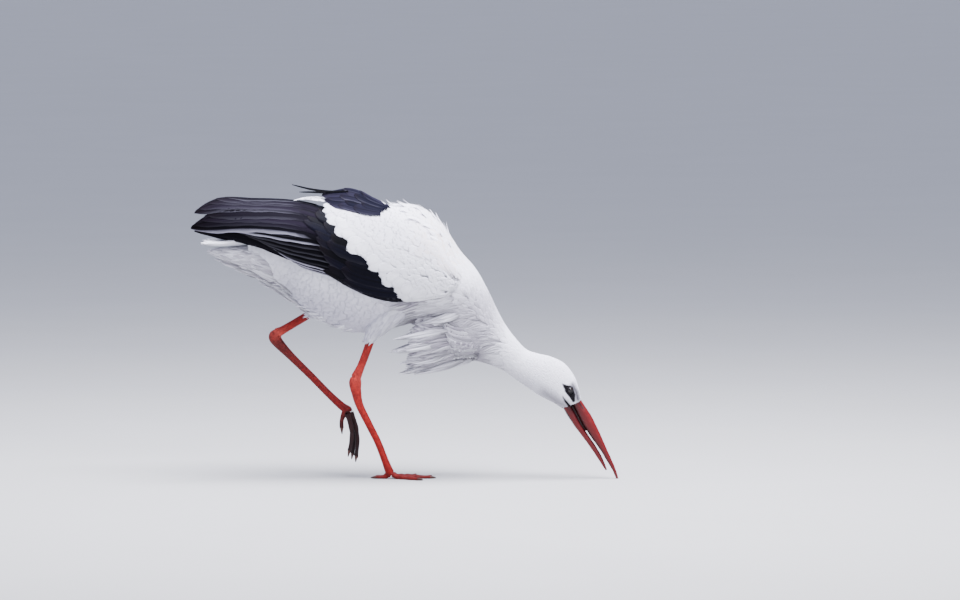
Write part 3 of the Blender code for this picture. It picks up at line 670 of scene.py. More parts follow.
@dataclass
class Flock:
    """Arrays that place many vanes of one kind; every array has one entry for each vane."""

    u: Array
    v: Array
    length: Optional[Array]         # none where quills works it out
    width: Array
    tint: Array                     # colour of each vane
    lie: Array | float = 0.0        # turn from the flow, in radians
    sweep: Array | float = 0.0      # further turn gained by the tip
    wave: Array | float = 0.0       # size of a slow S along the vane, in radians
    sink: Array | float = -2.0      # height of the root over the surface
    rise: Array | float = 0.0       # height of the tip
    stand: Array | float = 0.0      # more height gained only near the tip
    tilt: Array | float = 0.0       # height of one edge over the other

    def spread(self, name: str) -> Array:
        """A field as a full array."""
        return np.broadcast_to(np.asarray(getattr(self, name), float), np.shape(self.u))


Flow = Callable[[Array, Array], Array]
Press = Callable[[Array], Array]


def metric_step(along: Array, across: Array, move: Array) -> tuple[Array, Array]:
    """Steps in u and v that make a small move on a surface.

    Solves the surface's metric: the two slopes' dot products against the move's.

    Args:
        along, across: slopes of the surface over u and over v.
        move: wanted move, in the tangent plane.
    Returns:
        Step in u and step in v.
    """
    e, f, g = dot(along, along), dot(along, across), dot(across, across)
    first, second = dot(move, along), dot(move, across)
    scale = np.maximum(e * g - f * f, 1e-6)
    return ((g * first - f * second) / scale)[..., 0], ((e * second - f * first) / scale)[..., 0]


def lay(surface: Surface, vane: Vane, flock: Flock, rng: np.random.Generator,
        flow: Optional[Flow] = None, press: Optional[Press] = None,
        root_shade: float = 0.96, marks: Optional[Callable] = None) -> Shape:
    """Lay a flock of vanes on a surface, as one joined shape.

    Each shaft walks over the surface in steps along the flow, turned by its own lie. Every point
    of a vane is then read from the surface beside its shaft, so that the vane wraps round the
    body, and raised square to it.

    Args:
        surface: what the roots stand on.
        vane: the kind of feather.
        flock: place, size and colour of each.
        rng: source of the small irregularities.
        flow: world direction of the lie at a point, or along u where there is none.
        press: moves points clear of what lies under them.
        root_shade: how much darker a vane is at its root.
        marks: colours of points where markings cross the vanes.
    Returns:
        The joined shape, with colours and the two maps.
    """
    s = vane.stations()
    count = len(flock.u)
    u, v = flock.u.astype(float).copy(), flock.v.astype(float).copy()
    phase = rng.uniform(0, 2 * math.pi, count)
    places, spreads, aheads = [], [], []
    for row in range(vane.rows):
        point, along, across, normal = surface.frame(u, v)
        forward = unit(along)
        if flow is not None:
            wanted = flow(point, forward)
            forward = unit(wanted - dot(wanted, normal) * normal)
        turn = (flock.spread("lie") + flock.spread("sweep") * s[row]
                + flock.spread("wave") * np.sin(2 * math.pi * s[row] + phase))[:, None]
        heading = forward * np.cos(turn) + np.cross(normal, forward) * np.sin(turn)
        places.append((u, v))
        spreads.append(metric_step(along, across, np.cross(normal, heading)))
        aheads.append(heading)
        if row + 1 < vane.rows:
            stride = (flock.length * (s[row + 1] - s[row]))[:, None]
            step_u, step_v = metric_step(along, across, heading * stride)
            u, v = u + step_u, v + step_v
    form = vane.template()
    reach = flock.width[:, None] / 2 * form.outline * form.across
    wide_u, wide_v = (np.stack([place[axis] for place in places], axis=1)[:, form.row]
                      + np.stack([side[axis] for side in spreads], axis=1)[:, form.row] * reach
                      for axis in (0, 1))
    base, _, _, normal = surface.frame(wide_u, wide_v)
    ahead = np.stack(aheads, axis=1)[:, form.row]
    root = surface.share_of(flock.u, flock.v)[:, None, :]
    return bladed(vane, flock, (base, normal, ahead), root + form.patch(), rng, press, root_shade,
                  marks)


STREAK_SHIFT = 61.3         # millimetres between vanes on the Barbs map, so that no two match


def bladed(vane: Vane, flock: Flock, laid: tuple[Array, Array, Array], bake: Array,
           rng: np.random.Generator, press: Optional[Press] = None, root_shade: float = 1.0,
           marks: Optional[Callable] = None) -> Shape:
    """Give vanes that are laid out flat their height, thickness, ragged ends and colours.

    The height goes from the root's to the tip's by 1 - (1 - s)^2, so that the ends lie flat, and
    the edges drop by the square of the place across.

    Args:
        vane, flock: as for lay.
        laid: point on the surface, normal and heading for every point of every vane.
        bake: the OFBake map.
        rng, press, root_shade, marks: as for lay.
    Returns:
        The joined shape.
    """
    base, normal, ahead = laid
    form = vane.template()
    s, across = form.along, form.across
    count = len(flock.u)

    def column(name: str) -> Array:
        """A field of the flock as a column."""
        return flock.spread(name)[:, None]

    half = flock.width[:, None] / 2 * form.outline
    belly = np.where(form.under, -vane.thickness * (1 - across**2) * (1 - 0.6 * s), 0.0)
    ridge = np.where(form.under, 0.0, vane.ridge * (np.abs(across) < 0.05) * (1 - 0.8 * s))
    height = (column("rise") + (column("sink") - column("rise")) * (1 - s) ** 2
              + column("stand") * s**3 + column("tilt") * across
              - vane.arch * half * across**2 - vane.dip * ease(s, 0.72, 1.0) + belly + ridge)
    points = base + normal * height[..., None]
    if vane.notch:
        cut = rng.uniform(0, 1, (count, vane.columns)) ** 1.5 * vane.notch
        back = cut[:, form.column] * (s > 0.93) * flock.length[:, None]
        points = points - ahead * back[..., None]
    if press is not None:
        points = press(points.reshape(-1, 3)).reshape(points.shape)
    shade = root_shade + (1 - root_shade) * ease(s, 0.1, 0.75)
    shade = shade * (1 - vane.dusk * (1 - np.abs(across)) * (1 - 0.7 * s**2))
    colours = flock.tint[:, None, :] * shade[None, :, None]
    if marks is not None:
        colours = marks(points.reshape(-1, 3), colours.reshape(-1, 3)).reshape(points.shape)
    order = np.arange(count)[:, None]
    barbs = np.stack([half * across, s * flock.length[:, None] + order * STREAK_SHIFT], axis=-1)
    start = order[..., None] * len(s)
    facing = np.where(form.under, -1.0, 1.0)[None, :, None]
    return Shape(points.reshape(-1, 3), [(form.quads[None] + start).reshape(-1, 4)],
                 colours.reshape(-1, 3),
                 {"OFBake": bake.reshape(-1, 2), "Barbs": barbs.reshape(-1, 2)},
                 normals=(normal * facing).reshape(-1, 3))


def quills(surface: Surface, vane: Vane, flock: Flock, ends: Array, rng: np.random.Generator,
           bow: float = 0.0, painter: Optional[Callable] = None) -> Shape:
    """Lay long flight feathers, each from its flock's place to an end in u and v.

    A quill's shaft runs straight in u and v with a slow bow. Every point of its vane is read
    from the surface itself, so wide vanes wrap with the wing; the lower edge is raised and the
    upper edge sunk by the flock's tilt, so that each quill overlaps the one below it.

    Args:
        surface: the wing's pad.
        vane: rows, columns and tip.
        flock: place of each root, width, colour and height; its length follows from the ends.
        ends: u and v of each tip.
        rng: source of the small irregularities.
        bow: how far the shaft bends, in v.
        painter: colours from the vane's colour, place along it and place across it.
    Returns:
        The joined shape, each quill with its own strip of the bake map.
    """
    form = vane.template()
    count = len(ends)
    span = ends - np.stack([flock.u, flock.v], axis=1)
    flock.length = np.abs(span[:, 0])
    u = flock.u[:, None] + span[:, :1] * form.along
    middle = flock.v[:, None] + span[:, 1:] * form.along + bow * np.sin(math.pi * form.along)
    _, _, slope, _ = surface.frame(u, np.clip(middle, -0.2, 1.2))
    per_mm = 1 / np.maximum(np.linalg.norm(slope, axis=-1), 20.0)
    fray = 1 + 0.05 * np.sin(form.along * 31 + rng.uniform(0, 6, (count, 1)) + 2.0 * form.across)
    half = (flock.width[:, None] / 2 * form.outline
            * np.where(np.abs(form.across) > 0.9, fray, 1.0))
    base, _, _, normal = surface.frame(u, middle + half * form.across * per_mm)
    ahead = np.broadcast_to(np.array([-1.0, 0, 0]), base.shape)
    shape = bladed(vane, flock, (base, normal, ahead), form.strips(count), rng)
    if painter is not None:
        colours = painter(shape.colours.reshape(half.shape + (3,)),
                          np.broadcast_to(form.along, half.shape),
                          np.broadcast_to(form.across, half.shape))
        shape.colours = colours.reshape(-1, 3)
    if surface.facing < 0:
        shape.faces = [faces[:, TURNED] for faces in shape.faces]
    return shape


@dataclass(frozen=True)
class Lock:
    """A bundle of narrow feathers that starts on the body and draws together to a free tip."""

    root: tuple[float, float, float]
    tip: tuple[float, float, float]
    spread: float               # radius of the bundle at its root
    count: int
    width: float
    grey: float                 # most shade of a feather, from 0 to 1


def bundles(surface: Loft, vane: Vane, locks: list[Lock], rng: np.random.Generator,
            root_shade: float = 0.8) -> Shape:
    """Lay locks that hang free of a surface, with their feathers facing out all round them.

    A feather starts somewhere in a disc round the lock's root and keeps that place about the
    line to the tip, times (1 - s)^0.7. It ends at its own share of the line, so that the lock
    thins to a point. Its first third is drawn in too, so that no blunt end shows at the root.

    Args:
        surface: body that the roots belong to on the bake map.
        vane: the kind of feather.
        locks: the bundles.
        rng: source of the small irregularities.
        root_shade: how much darker a feather is at its root.
    Returns:
        The joined shape.
    """
    form = vane.template()
    which = np.repeat(np.arange(len(locks)), [lock.count for lock in locks])
    count = len(which)
    root, tip = (np.array([getattr(lock, name) for lock in locks], float)[which]
                 for name in ("root", "tip"))
    spread, width, grey = (np.array([getattr(lock, name) for lock in locks])[which]
                           for name in ("spread", "width", "grey"))
    aside = unit(np.cross(tip - root, [0, 0, 1.0]))
    up = unit(np.cross(aside, tip - root))
    turn = rng.uniform(0, 2 * math.pi, (count, 1))
    outward = aside * np.cos(turn) + up * np.sin(turn)
    radius = spread * np.sqrt(rng.random(count))
    share = vane.stations() * rng.uniform(0.55, 1.0, count)[:, None]
    away = radius[:, None] * (1 - share) ** 0.7 * (0.3 + 0.7 * ease(share, 0.0, 0.3))
    sag = np.sin(math.pi * share) * rng.normal(0, 0.02, (count, 1)) \
        * np.linalg.norm(tip - root, axis=1)[:, None]
    shafts = (root[:, None] + (tip - root)[:, None] * share[..., None]
              + outward[:, None] * away[..., None] + up[:, None] * sag[..., None])
    ahead = unit(np.gradient(shafts, axis=1))
    side = unit(np.cross(outward[:, None], ahead))
    normal = np.cross(ahead, side)
    # painted shade: each feather greyed by up to its lock's grey
    white = mix(np.broadcast_to(WHITE, (count, 3)), DEEP_SHADE_GREY, grey * rng.random(count))
    flock = Flock(root[:, 0], root[:, 2], np.linalg.norm(shafts[:, -1] - shafts[:, 0], axis=1),
                  width * rng.uniform(0.75, 1.2, count),
                  white * rng.uniform(0.86, 1.0, (count, 1)), sink=0.0,
                  tilt=rng.normal(0, 0.3, count))
    reach = flock.width[:, None] / 2 * form.outline * form.across
    base = shafts[:, form.row] + side[:, form.row] * reach[..., None]
    places = surface.share_of(*surface.place_of(root))[:, None]
    return bladed(vane, flock, (base, normal[:, form.row], ahead[:, form.row]),
                  places + form.patch(), rng, root_shade=root_shade)


PROBES = 60                 # places round a surface where its stretch is measured


def scatter(surface: Surface, sizes: tuple, start: float, stop: float,
            rng: np.random.Generator) -> tuple[Array, Array]:
    """Spread roots evenly over a surface in staggered rows.

    The rows' distance is the wanted spacing where the surface is stretched most, and elsewhere
    roots are dropped at random in proportion to how far the rows close up.

    Args:
        surface: where the roots go.
        sizes: rows of u, spacing along, spacing across and more.
        start, stop: range of u.
        rng: source of the jitter.
    Returns:
        Arrays of u and v.
    """
    low_v, high_v = surface.v_range
    us, vs = [], []
    u, odd = start, 0
    while u < stop:
        along_gap, across_gap = follow(sizes, u)[0, :2]
        probe = np.linspace(low_v, high_v, PROBES, endpoint=False) + 0.01
        _, along, across, _ = surface.frame(np.full(PROBES, u), probe)
        stretch = np.linalg.norm(along, axis=1)
        round_way = np.linalg.norm(across, axis=1)
        girth = round_way.mean() * (high_v - low_v)
        count = max(3, int(round(girth / across_gap)))
        grown = np.concatenate([[0], np.cumsum(round_way)])
        even = (np.arange(count) + 0.5 * (odd % 2) + rng.uniform(-0.28, 0.28, count)) / count
        v = np.interp(even % 1.0, grown / grown[-1], np.linspace(low_v, high_v, PROBES + 1))
        here = np.interp(v, probe, stretch)
        kept = rng.uniform(0, 1, count) < here / stretch.max()
        gap = along_gap / stretch.max()
        us.append((u + rng.uniform(-0.3, 0.3, count) * gap)[kept])
        vs.append(v[kept])
        u += gap
        odd += 1
    return np.concatenate(us), np.concatenate(vs)


# --- Markings ---------------------------------------------------------------------------------
WHITE = tone("#f0eff7")
CREAM = tone("#eddcd2")
# Greys of painted shade on the white plumage, a lighter one and a deeper one.
SHADE_GREY = tone("#a9a5ba")
DEEP_SHADE_GREY = tone("#958f9b")
DOWN = tone("#d3ced3")
INK = tone("#0c0b0f")
MUZZLE_BLACK = tone("#0d0b0f")
BAND_BLACK = tone("#050507")
BAND_NAVY = tone("#0b0b15")
FLIGHT_DARK = tone("#050507")
FLIGHT_BROWN = tone("#0b090d")
FLIGHT_GREY = tone("#17131c")
SHOULDER_GREY = tone("#1b1925")
# Silvery lower rims of some flight feathers: a pale web edge, brightened as painted sheen.
SILVER_RIM_SHEEN = tone("#b4b2c2")
WORN_BROWN = tone("#120d10")
# Chains of x, z and radius on the side of the head: black bare skin, and painted shade on the lores
# and cheek.
EYE_PATCH = ((327.5, 199, 0.5), (334, 193, 4.4), (342, 186, 9.6), (348, 175, 7.2), (351.5, 163, 3.6))
GAPE_STREAK = ((329, 172, 1.0), (335, 162, 2.6), (343, 152, 3.2), (349, 146, 2.0))
CHIN_BLACK = ((329, 146, 2.6), (339, 129, 4.4), (351, 109, 2.2))
LORES_SHADE = ((350, 196, 4.5), (357, 181, 6.0), (361, 166, 6.0))
CHEEK_SHADE = ((292, 180, 6), (318, 160, 9), (338, 152, 8))


def chain(points: Array, line: tuple, soft: float = 1.2) -> Array:
    """How far points lie inside a chain of discs seen from the side, 1 inside and 0 outside.

    The distance to each link is that to its nearest point, less the radius read along the link.
    """
    place = points[:, [0, 2]]
    nearest = np.full(len(points), 1e9)
    for first, second in zip(line[:-1], line[1:]):
        start, end = np.array(first[:2]), np.array(second[:2])
        share = np.clip(((place - start) @ (end - start)) / ((end - start) @ (end - start)), 0, 1)
        gap = np.linalg.norm(place - start - share[:, None] * (end - start), axis=1)
        nearest = np.minimum(nearest, gap - first[2] - share * (second[2] - first[2]))
    return ease(nearest, soft, -soft)


def head_marks(points: Array, colours: Array) -> Array:
    """Black bare skin round the eye, at the gape and under the chin, and painted shade on the lores
    and on the cheek below the eye.
    """
    side_on = ease(np.abs(points[:, 1]), 6, 10)
    # painted shade on the cheek below the eye, then on the lores
    colours = mix(colours, DEEP_SHADE_GREY * 0.5, 0.85 * chain(points, CHEEK_SHADE, 16.0))
    lores_shade = chain(points, LORES_SHADE, 6.0) * ease(np.abs(points[:, 1]), 1, 6)
    colours = mix(colours, DEEP_SHADE_GREY * 0.25, lores_shade)
    black = np.maximum(chain(points, EYE_PATCH), chain(points, GAPE_STREAK)) * side_on
    return mix(colours, MUZZLE_BLACK, np.maximum(black, 0.9 * chain(points, CHIN_BLACK)))


def wing_place(points: Array) -> tuple[Array, Array, Array]:
    """Where points lie about the nearer folded wing.

    Returns:
        Angle on the wing's oval, reach as a share of the oval's radius, and share from the lower
        to the upper edge.
    """
    x, y, z = points.T
    middle, half_height, half_width = follow(WING_FORM, x).T
    rise, out = (z - middle) / half_height, np.abs(y) / half_width
    angle, reach = np.arctan2(rise, out), np.hypot(rise, out)
    low, high = WingPad(1).angles(x)
    return angle, reach, (angle - low) / np.maximum(high - low, 0.05)


LONGEST_FEATHER = 46.0      # of the back
WING_FRONT, WING_REAR = 88.0, -330.0        # x between which a folded wing hides the body
BLACK_BACK = -162.0         # x behind which the wings are black up to their upper edges


def under_wing(points: Array) -> Array:
    """True where a point of the body is well hidden by a folded wing."""
    _, _, share = wing_place(points)
    _, _, behind = wing_place(points - [LONGEST_FEATHER, 0, 0])
    x = points[:, 0]
    top = np.where(x < -138, 1.03, 0.86)
    hidden = (share > 0.14) & (share < top)
    over_black = (x < LONGEST_FEATHER + BLACK_BACK) & (share > 0.5) & (behind < 1.02)
    return (x < WING_FRONT) & (x > WING_REAR) & (hidden | over_black)


def over_wings(points: Array) -> Array:
    """Lift points that lie over the wings' upper edges to just above them.

    Most of each point's depth below that height is taken away, but not all, so that feathers
    keep their order.
    """
    _, reach, share = wing_place(points)
    x = points[:, 0]
    middle, _, half_width = follow(WING_FORM, x).T
    weight = ease(share, 0.55, 0.8) * ease(x, -185, -160) * ease(x, 128, 108)
    weight = weight * ease(share, 1.6, 1.1)
    wanted = 1 + 1.8 / half_width
    lower = np.maximum(wanted - reach, 0)
    grow = 1 + weight * lower * 0.86 / np.maximum(reach, 0.3)
    lifted = points.copy()
    lifted[:, 1] *= grow
    lifted[:, 2] = middle + (points[:, 2] - middle) * grow
    return lifted


# --- Finishes ---------------------------------------------------------------------------------
def add(tree: bpy.types.NodeTree, kind: str, inputs: Optional[dict] = None,
        **settings: object) -> bpy.types.Node:
    """Add a node with its settings and inputs.

    Args:
        tree: node tree to add to.
        kind: Blender's name for the node.
        inputs: value or output socket for each input, by name or number.
        settings: the node's own properties.
    Returns:
        The node.
    """
    node = tree.nodes.new(kind)
    for name, value in settings.items():
        setattr(node, name, value)
    for name, value in (inputs or {}).items():
        if isinstance(value, bpy.types.NodeSocket):
            tree.links.new(value, node.inputs[name])
        else:
            node.inputs[name].default_value = value
    return node


def shaded(name: str, **values: object) -> tuple[bpy.types.Material, bpy.types.NodeTree,
                                                 bpy.types.Node]:
    """A new material with one Principled shader and the given constants on its sockets."""
    material = bpy.data.materials.new(name)
    material.use_nodes = True
    tree = material.node_tree
    shader = tree.nodes["Principled BSDF"]
    for label, value in values.items():
        shader.inputs[label.replace("_", " ")].default_value = value
    return material, tree, shader


def maths(tree: bpy.types.NodeTree, operation: str, *values: object) -> bpy.types.NodeSocket:
    """Result of a Math node on numbers or sockets."""
    return add(tree, "ShaderNodeMath", dict(enumerate(values)), operation=operation).outputs[0]


def surfaced(tree: bpy.types.NodeTree, shader: bpy.types.Node, tint: bpy.types.Node,
             value: bpy.types.NodeSocket, height: bpy.types.NodeSocket, strength: float,
             depth: float) -> None:
    """Shade the points' own colour by a value, and raise a height as a fine relief.

    Args:
        tree, shader: of the material.
        tint: node that reads the points' colour.
        value: what the colour is multiplied by.
        height: the relief, from 0 to 1.
        strength: how strongly the relief shows.
        depth: its depth in metres.
    """
    colour = add(tree, "ShaderNodeVectorMath", {0: tint.outputs["Color"], "Scale": value},
                 operation="SCALE")
    tree.links.new(colour.outputs[0], shader.inputs["Base Color"])
    bump = add(tree, "ShaderNodeBump", {"Height": height, "Strength": strength,
                                        "Distance": depth})
    tree.links.new(bump.outputs[0], shader.inputs["Normal"])


@dataclass(frozen=True)
class PlumageFinish:
    """Keratin barbs of a feather: matt and soft on contour feathers, silky on flight feathers.

    Barbs run out from the shaft at an angle; they are 0.4 mm apart on the bird and drawn at
    barb_mm, so that they show. They give the eye a fine grain that follows each vane.
    """

    name: str
    roughness: float
    sheen: float
    barb_mm: float = 1.5
    depth: float = 0.25
    specular: float = 0.3
    glow: float = 0.0           # share of light that spreads within the vanes
    streaks: float = 0.0        # worn lighter and darker lines along the vane

    def fade_gloss(self, tree: bpy.types.NodeTree, shader: bpy.types.Node,
                   tint: bpy.types.Node) -> None:
        """Take sheen and gloss away where white plumage carries dark marks."""
        for label, least, most in (("Sheen Weight", 0.0, self.sheen),
                                   ("Specular IOR Level", 0.3 * self.specular, self.specular)):
            gain = add(tree, "ShaderNodeMapRange", {
                "Value": tint.outputs["Fac"], "From Max": 0.4, "To Min": least, "To Max": most})
            tree.links.new(gain.outputs[0], shader.inputs[label])

    def material(self) -> bpy.types.Material:
        """Colour from the points, barbs from the vane's own map, and a broad mottling."""
        material, tree, shader = shaded(
            self.name, Roughness=self.roughness, Sheen_Weight=self.sheen, Sheen_Roughness=0.5,
            Specular_IOR_Level=self.specular, Subsurface_Weight=self.glow,
            Subsurface_Scale=0.002)
        shader.inputs["Subsurface Radius"].default_value = (1.0, 0.95, 1.0)
        tint = add(tree, "ShaderNodeAttribute", attribute_name="Tint")
        if self.glow:
            self.fade_gloss(tree, shader, tint)
        barbs = add(tree, "ShaderNodeUVMap", uv_map="Barbs")
        parts = add(tree, "ShaderNodeSeparateXYZ", {0: barbs.outputs["UV"]})
        out = maths(tree, "ABSOLUTE", parts.outputs["X"])
        slant = maths(tree, "MULTIPLY_ADD", out, -0.9, parts.outputs["Y"])
        wave = maths(tree, "SINE", maths(tree, "MULTIPLY", slant, 2 * math.pi / self.barb_mm))
        place = add(tree, "ShaderNodeTexCoord")
        clouds = add(tree, "ShaderNodeTexNoise",
                     {"Vector": place.outputs["Object"], "Scale": 90.0, "Detail": 3.0})
        grain = maths(tree, "MULTIPLY_ADD", wave, 0.035, 0.94)
        cloudy = maths(tree, "MULTIPLY_ADD", clouds.outputs["Fac"], 0.14, grain)
        drawn = add(tree, "ShaderNodeMapping", {"Vector": barbs.outputs["UV"],
                                                "Scale": (0.45, 0.018, 1.0)})
        lines = add(tree, "ShaderNodeTexNoise", {"Vector": drawn.outputs[0], "Scale": 1.0,
                                                 "Detail": 3.0})
        lined = maths(tree, "MULTIPLY_ADD", lines.outputs["Fac"], 2 * self.streaks,
                      1 - self.streaks)
        value = maths(tree, "MULTIPLY", cloudy, lined)
        surfaced(tree, shader, tint, value, wave, self.depth, 0.0003)
        return material


@dataclass(frozen=True)
class SkinFinish:
    """Living skin: small horny plates on the legs, and soft bare skin or down elsewhere.

    The plates are about 2.4 mm across. They break up the gloss of the red legs into fine facets.
    """

    name: str = "scaly_leg_skin"
    plate_mm: float = 2.4

    def material(self) -> bpy.types.Material:
        """Colour from the points, plates as Voronoi cells with sunk edges, blotches as noise."""
        material, tree, shader = shaded(self.name, Roughness=0.55, Specular_IOR_Level=0.22)
        tint = add(tree, "ShaderNodeAttribute", attribute_name="Tint")
        place = add(tree, "ShaderNodeTexCoord")
        scale = 1 / (self.plate_mm * MM)
        plates = add(tree, "ShaderNodeTexVoronoi", {"Vector": place.outputs["Object"],
                                                    "Scale": scale}, feature="DISTANCE_TO_EDGE")
        edge = add(tree, "ShaderNodeMapRange", {"Value": plates.outputs["Distance"],
                                                "From Max": 0.14})
        blotch = add(tree, "ShaderNodeTexNoise", {"Vector": place.outputs["Object"],
                                                  "Scale": 160.0, "Detail": 4.0})
        darker = maths(tree, "MULTIPLY_ADD", edge.outputs[0], 0.30, 0.02)
        value = maths(tree, "MULTIPLY_ADD", blotch.outputs["Fac"], 1.3, darker)
        surfaced(tree, shader, tint, value, edge.outputs[0], 0.5, 0.0004)
        return material


@dataclass(frozen=True)
class HornFinish:
    """Horn of the bill and claws: smooth, faintly streaked lengthwise, with a satin gloss."""

    name: str
    roughness: float = 0.38
    streak_mm: float = 1.6
    streaks: float = 0.22

    def material(self) -> bpy.types.Material:
        """Colour from the points, with long thin streaks of noise drawn out along the horn."""
        material, tree, shader = shaded(self.name, Roughness=self.roughness, IOR=1.54,
                                        Specular_IOR_Level=0.22)
        tint = add(tree, "ShaderNodeAttribute", attribute_name="Tint")
        along = add(tree, "ShaderNodeUVMap", uv_map="Barbs")
        drawn = add(tree, "ShaderNodeMapping", {"Vector": along.outputs["UV"],
                                                "Scale": (1 / self.streak_mm, 0.05, 1.0)})
        streak = add(tree, "ShaderNodeTexNoise", {"Vector": drawn.outputs[0], "Scale": 1.0,
                                                  "Detail": 5.0, "Roughness": 0.65})
        value = maths(tree, "MULTIPLY_ADD", streak.outputs["Fac"], 2 * self.streaks,
                      1 - self.streaks)
        surfaced(tree, shader, tint, value, streak.outputs["Fac"], 0.35, 0.0004)
        return material


# --- Legs and feet as surfaces ------------------------------------------------------------------
def toe_radius(share: Array, knuckles: int) -> Array:
    """Slow taper with a low swelling at each joint."""
    return TOE_RADIUS * (1 - 0.32 * share) * (1 + 0.10 * np.cos(2 * math.pi * knuckles * share))


def toe_rows(name: str, planted: bool) -> Array:
    """Rows of x, y out, z and two radii of a toe.

    A planted toe lies straight out from the foot's knuckle; a lifted one hangs in a slow curve.

    Args:
        name: which toe.
        planted: whether the foot is on the ground.
    Returns:
        Nine rows from knuckle to claw.
    """
    share = np.linspace(0, 1, 9)
    radius = toe_radius(share, 1 if name == "hind" else 3)
    if planted:
        turn, length, start = TOES[name]
        reach = start + (length - start) * share
        x = FOOT_CENTRE[0] + reach * math.cos(math.radians(turn))
        y = FOOT_CENTRE[1] - reach * math.sin(math.radians(turn))
        z = radius * 0.75 + 4.0 * np.clip(1 - 3.5 * share, 0, 1) ** 2
        return np.stack([x, y, z, radius, radius], axis=1)
    offset, reach = (np.array(value, float) for value in HANGING[name])
    bulge = np.outer(np.sin(math.pi * share), [7.0, 0, 0]) * (-0.4 if name == "hind" else 1)
    path = np.array(HANG_START) + offset + reach * share[:, None] + bulge
    return np.column_stack([path, radius, radius])


def claw_rows(toe: Array) -> Array:
    """Rows of the claw that carries a toe on, drops a little and narrows to a blunt point."""
    end, before = toe[-1, :3], toe[-3, :3]
    share = np.linspace(-0.25, 1, 8)
    path = end + unit(end - before) * (share[:, None] * 11 + 1)
    path[:, 2] -= 1.4 * np.clip(share, 0, 1) ** 1.6
    radius = toe[-1, 3] * (0.80 - 0.58 * np.clip(share, 0, 1) ** 1.2)
    return np.column_stack([path, radius, radius])


@dataclass
class Leg:
    """One leg from thigh to toes, as surfaces that skin and feathers are made on."""

    letter: str

    def __post_init__(self) -> None:
        """Lay out the limbs."""
        side = SIDES[self.letter]
        self.planted = self.letter == "r"
        self.thigh = Limb(THIGHS[self.letter], side)
        self.shank = Limb(SHANKS[self.letter], side)
        self.tarsus = Limb(TARSI[self.letter], side)
        rows = {name: toe_rows(name, self.planted) for name in TOES}
        self.toes = {name: Limb(tuple(map(tuple, toe)), side) for name, toe in rows.items()}
        self.claws = {name: Limb(tuple(map(tuple, claw_rows(toe))), side)
                      for name, toe in rows.items()}

    def bare(self) -> list[Limb]:
        """The limbs that show bare skin."""
        return [self.shank, self.tarsus, *self.toes.values()]


def rings_of(surface: Surface, rows: int, sides: int, inset: Callable | float = 0.0,
             ends: tuple[float, float] = (0.0, 0.0)) -> Array:
    """Rings of a closed surface, sunk along its normals.

    Args:
        surface: a tube-like surface.
        rows, sides: size of the grid.
        inset: depth, or a function of u that gives it.
        ends: how far the rings run past the range of u at its start and end.
    Returns:
        Rows by sides by three.
    """
    low, high = surface.u_range
    u, v = crossed(np.linspace(low - ends[0], high + ends[1], rows), turns(sides))
    point, _, _, normal = surface.frame(u, v)
    depth = inset(u.ravel()).reshape(u.shape) if callable(inset) else inset
    rings = point - normal * (np.zeros_like(u) + depth)[..., None]
    return surface.wound(rings)


# --- Skin ---------------------------------------------------------------------------------------
# Ring number and depth of the coat over the skin.
COAT_DEPTH = ((0, 1.0), (2, 1.8), (5, 3.2), (8, 5), (10.5, 8), (13, 11), (17, 11), (19, 8))
# Leg colours: along each limb from its top.
LEG_TONES = {
    ("r", "shank"): ("#80120e", "#8a1813", "#a32c24"),
    ("r", "tarsus"): ("#a83026", "#9a1d16", "#8f0f08", "#8a0803", "#6c0603"),
    ("r", "toe"): ("#6c0905", "#5a0805"),
    ("l", "shank"): ("#760d0a", "#84150f", "#a83a30"),
    ("l", "tarsus"): ("#9c332a", "#520c0a", "#6c0806", "#720603", "#4a0404"),
    # The lifted toes are darkest: wet mud on them, and painted shade.
    ("l", "toe"): ("#260405", "#180304"),
    ("l", "hind"): ("#5a0c08", "#260405"),
}


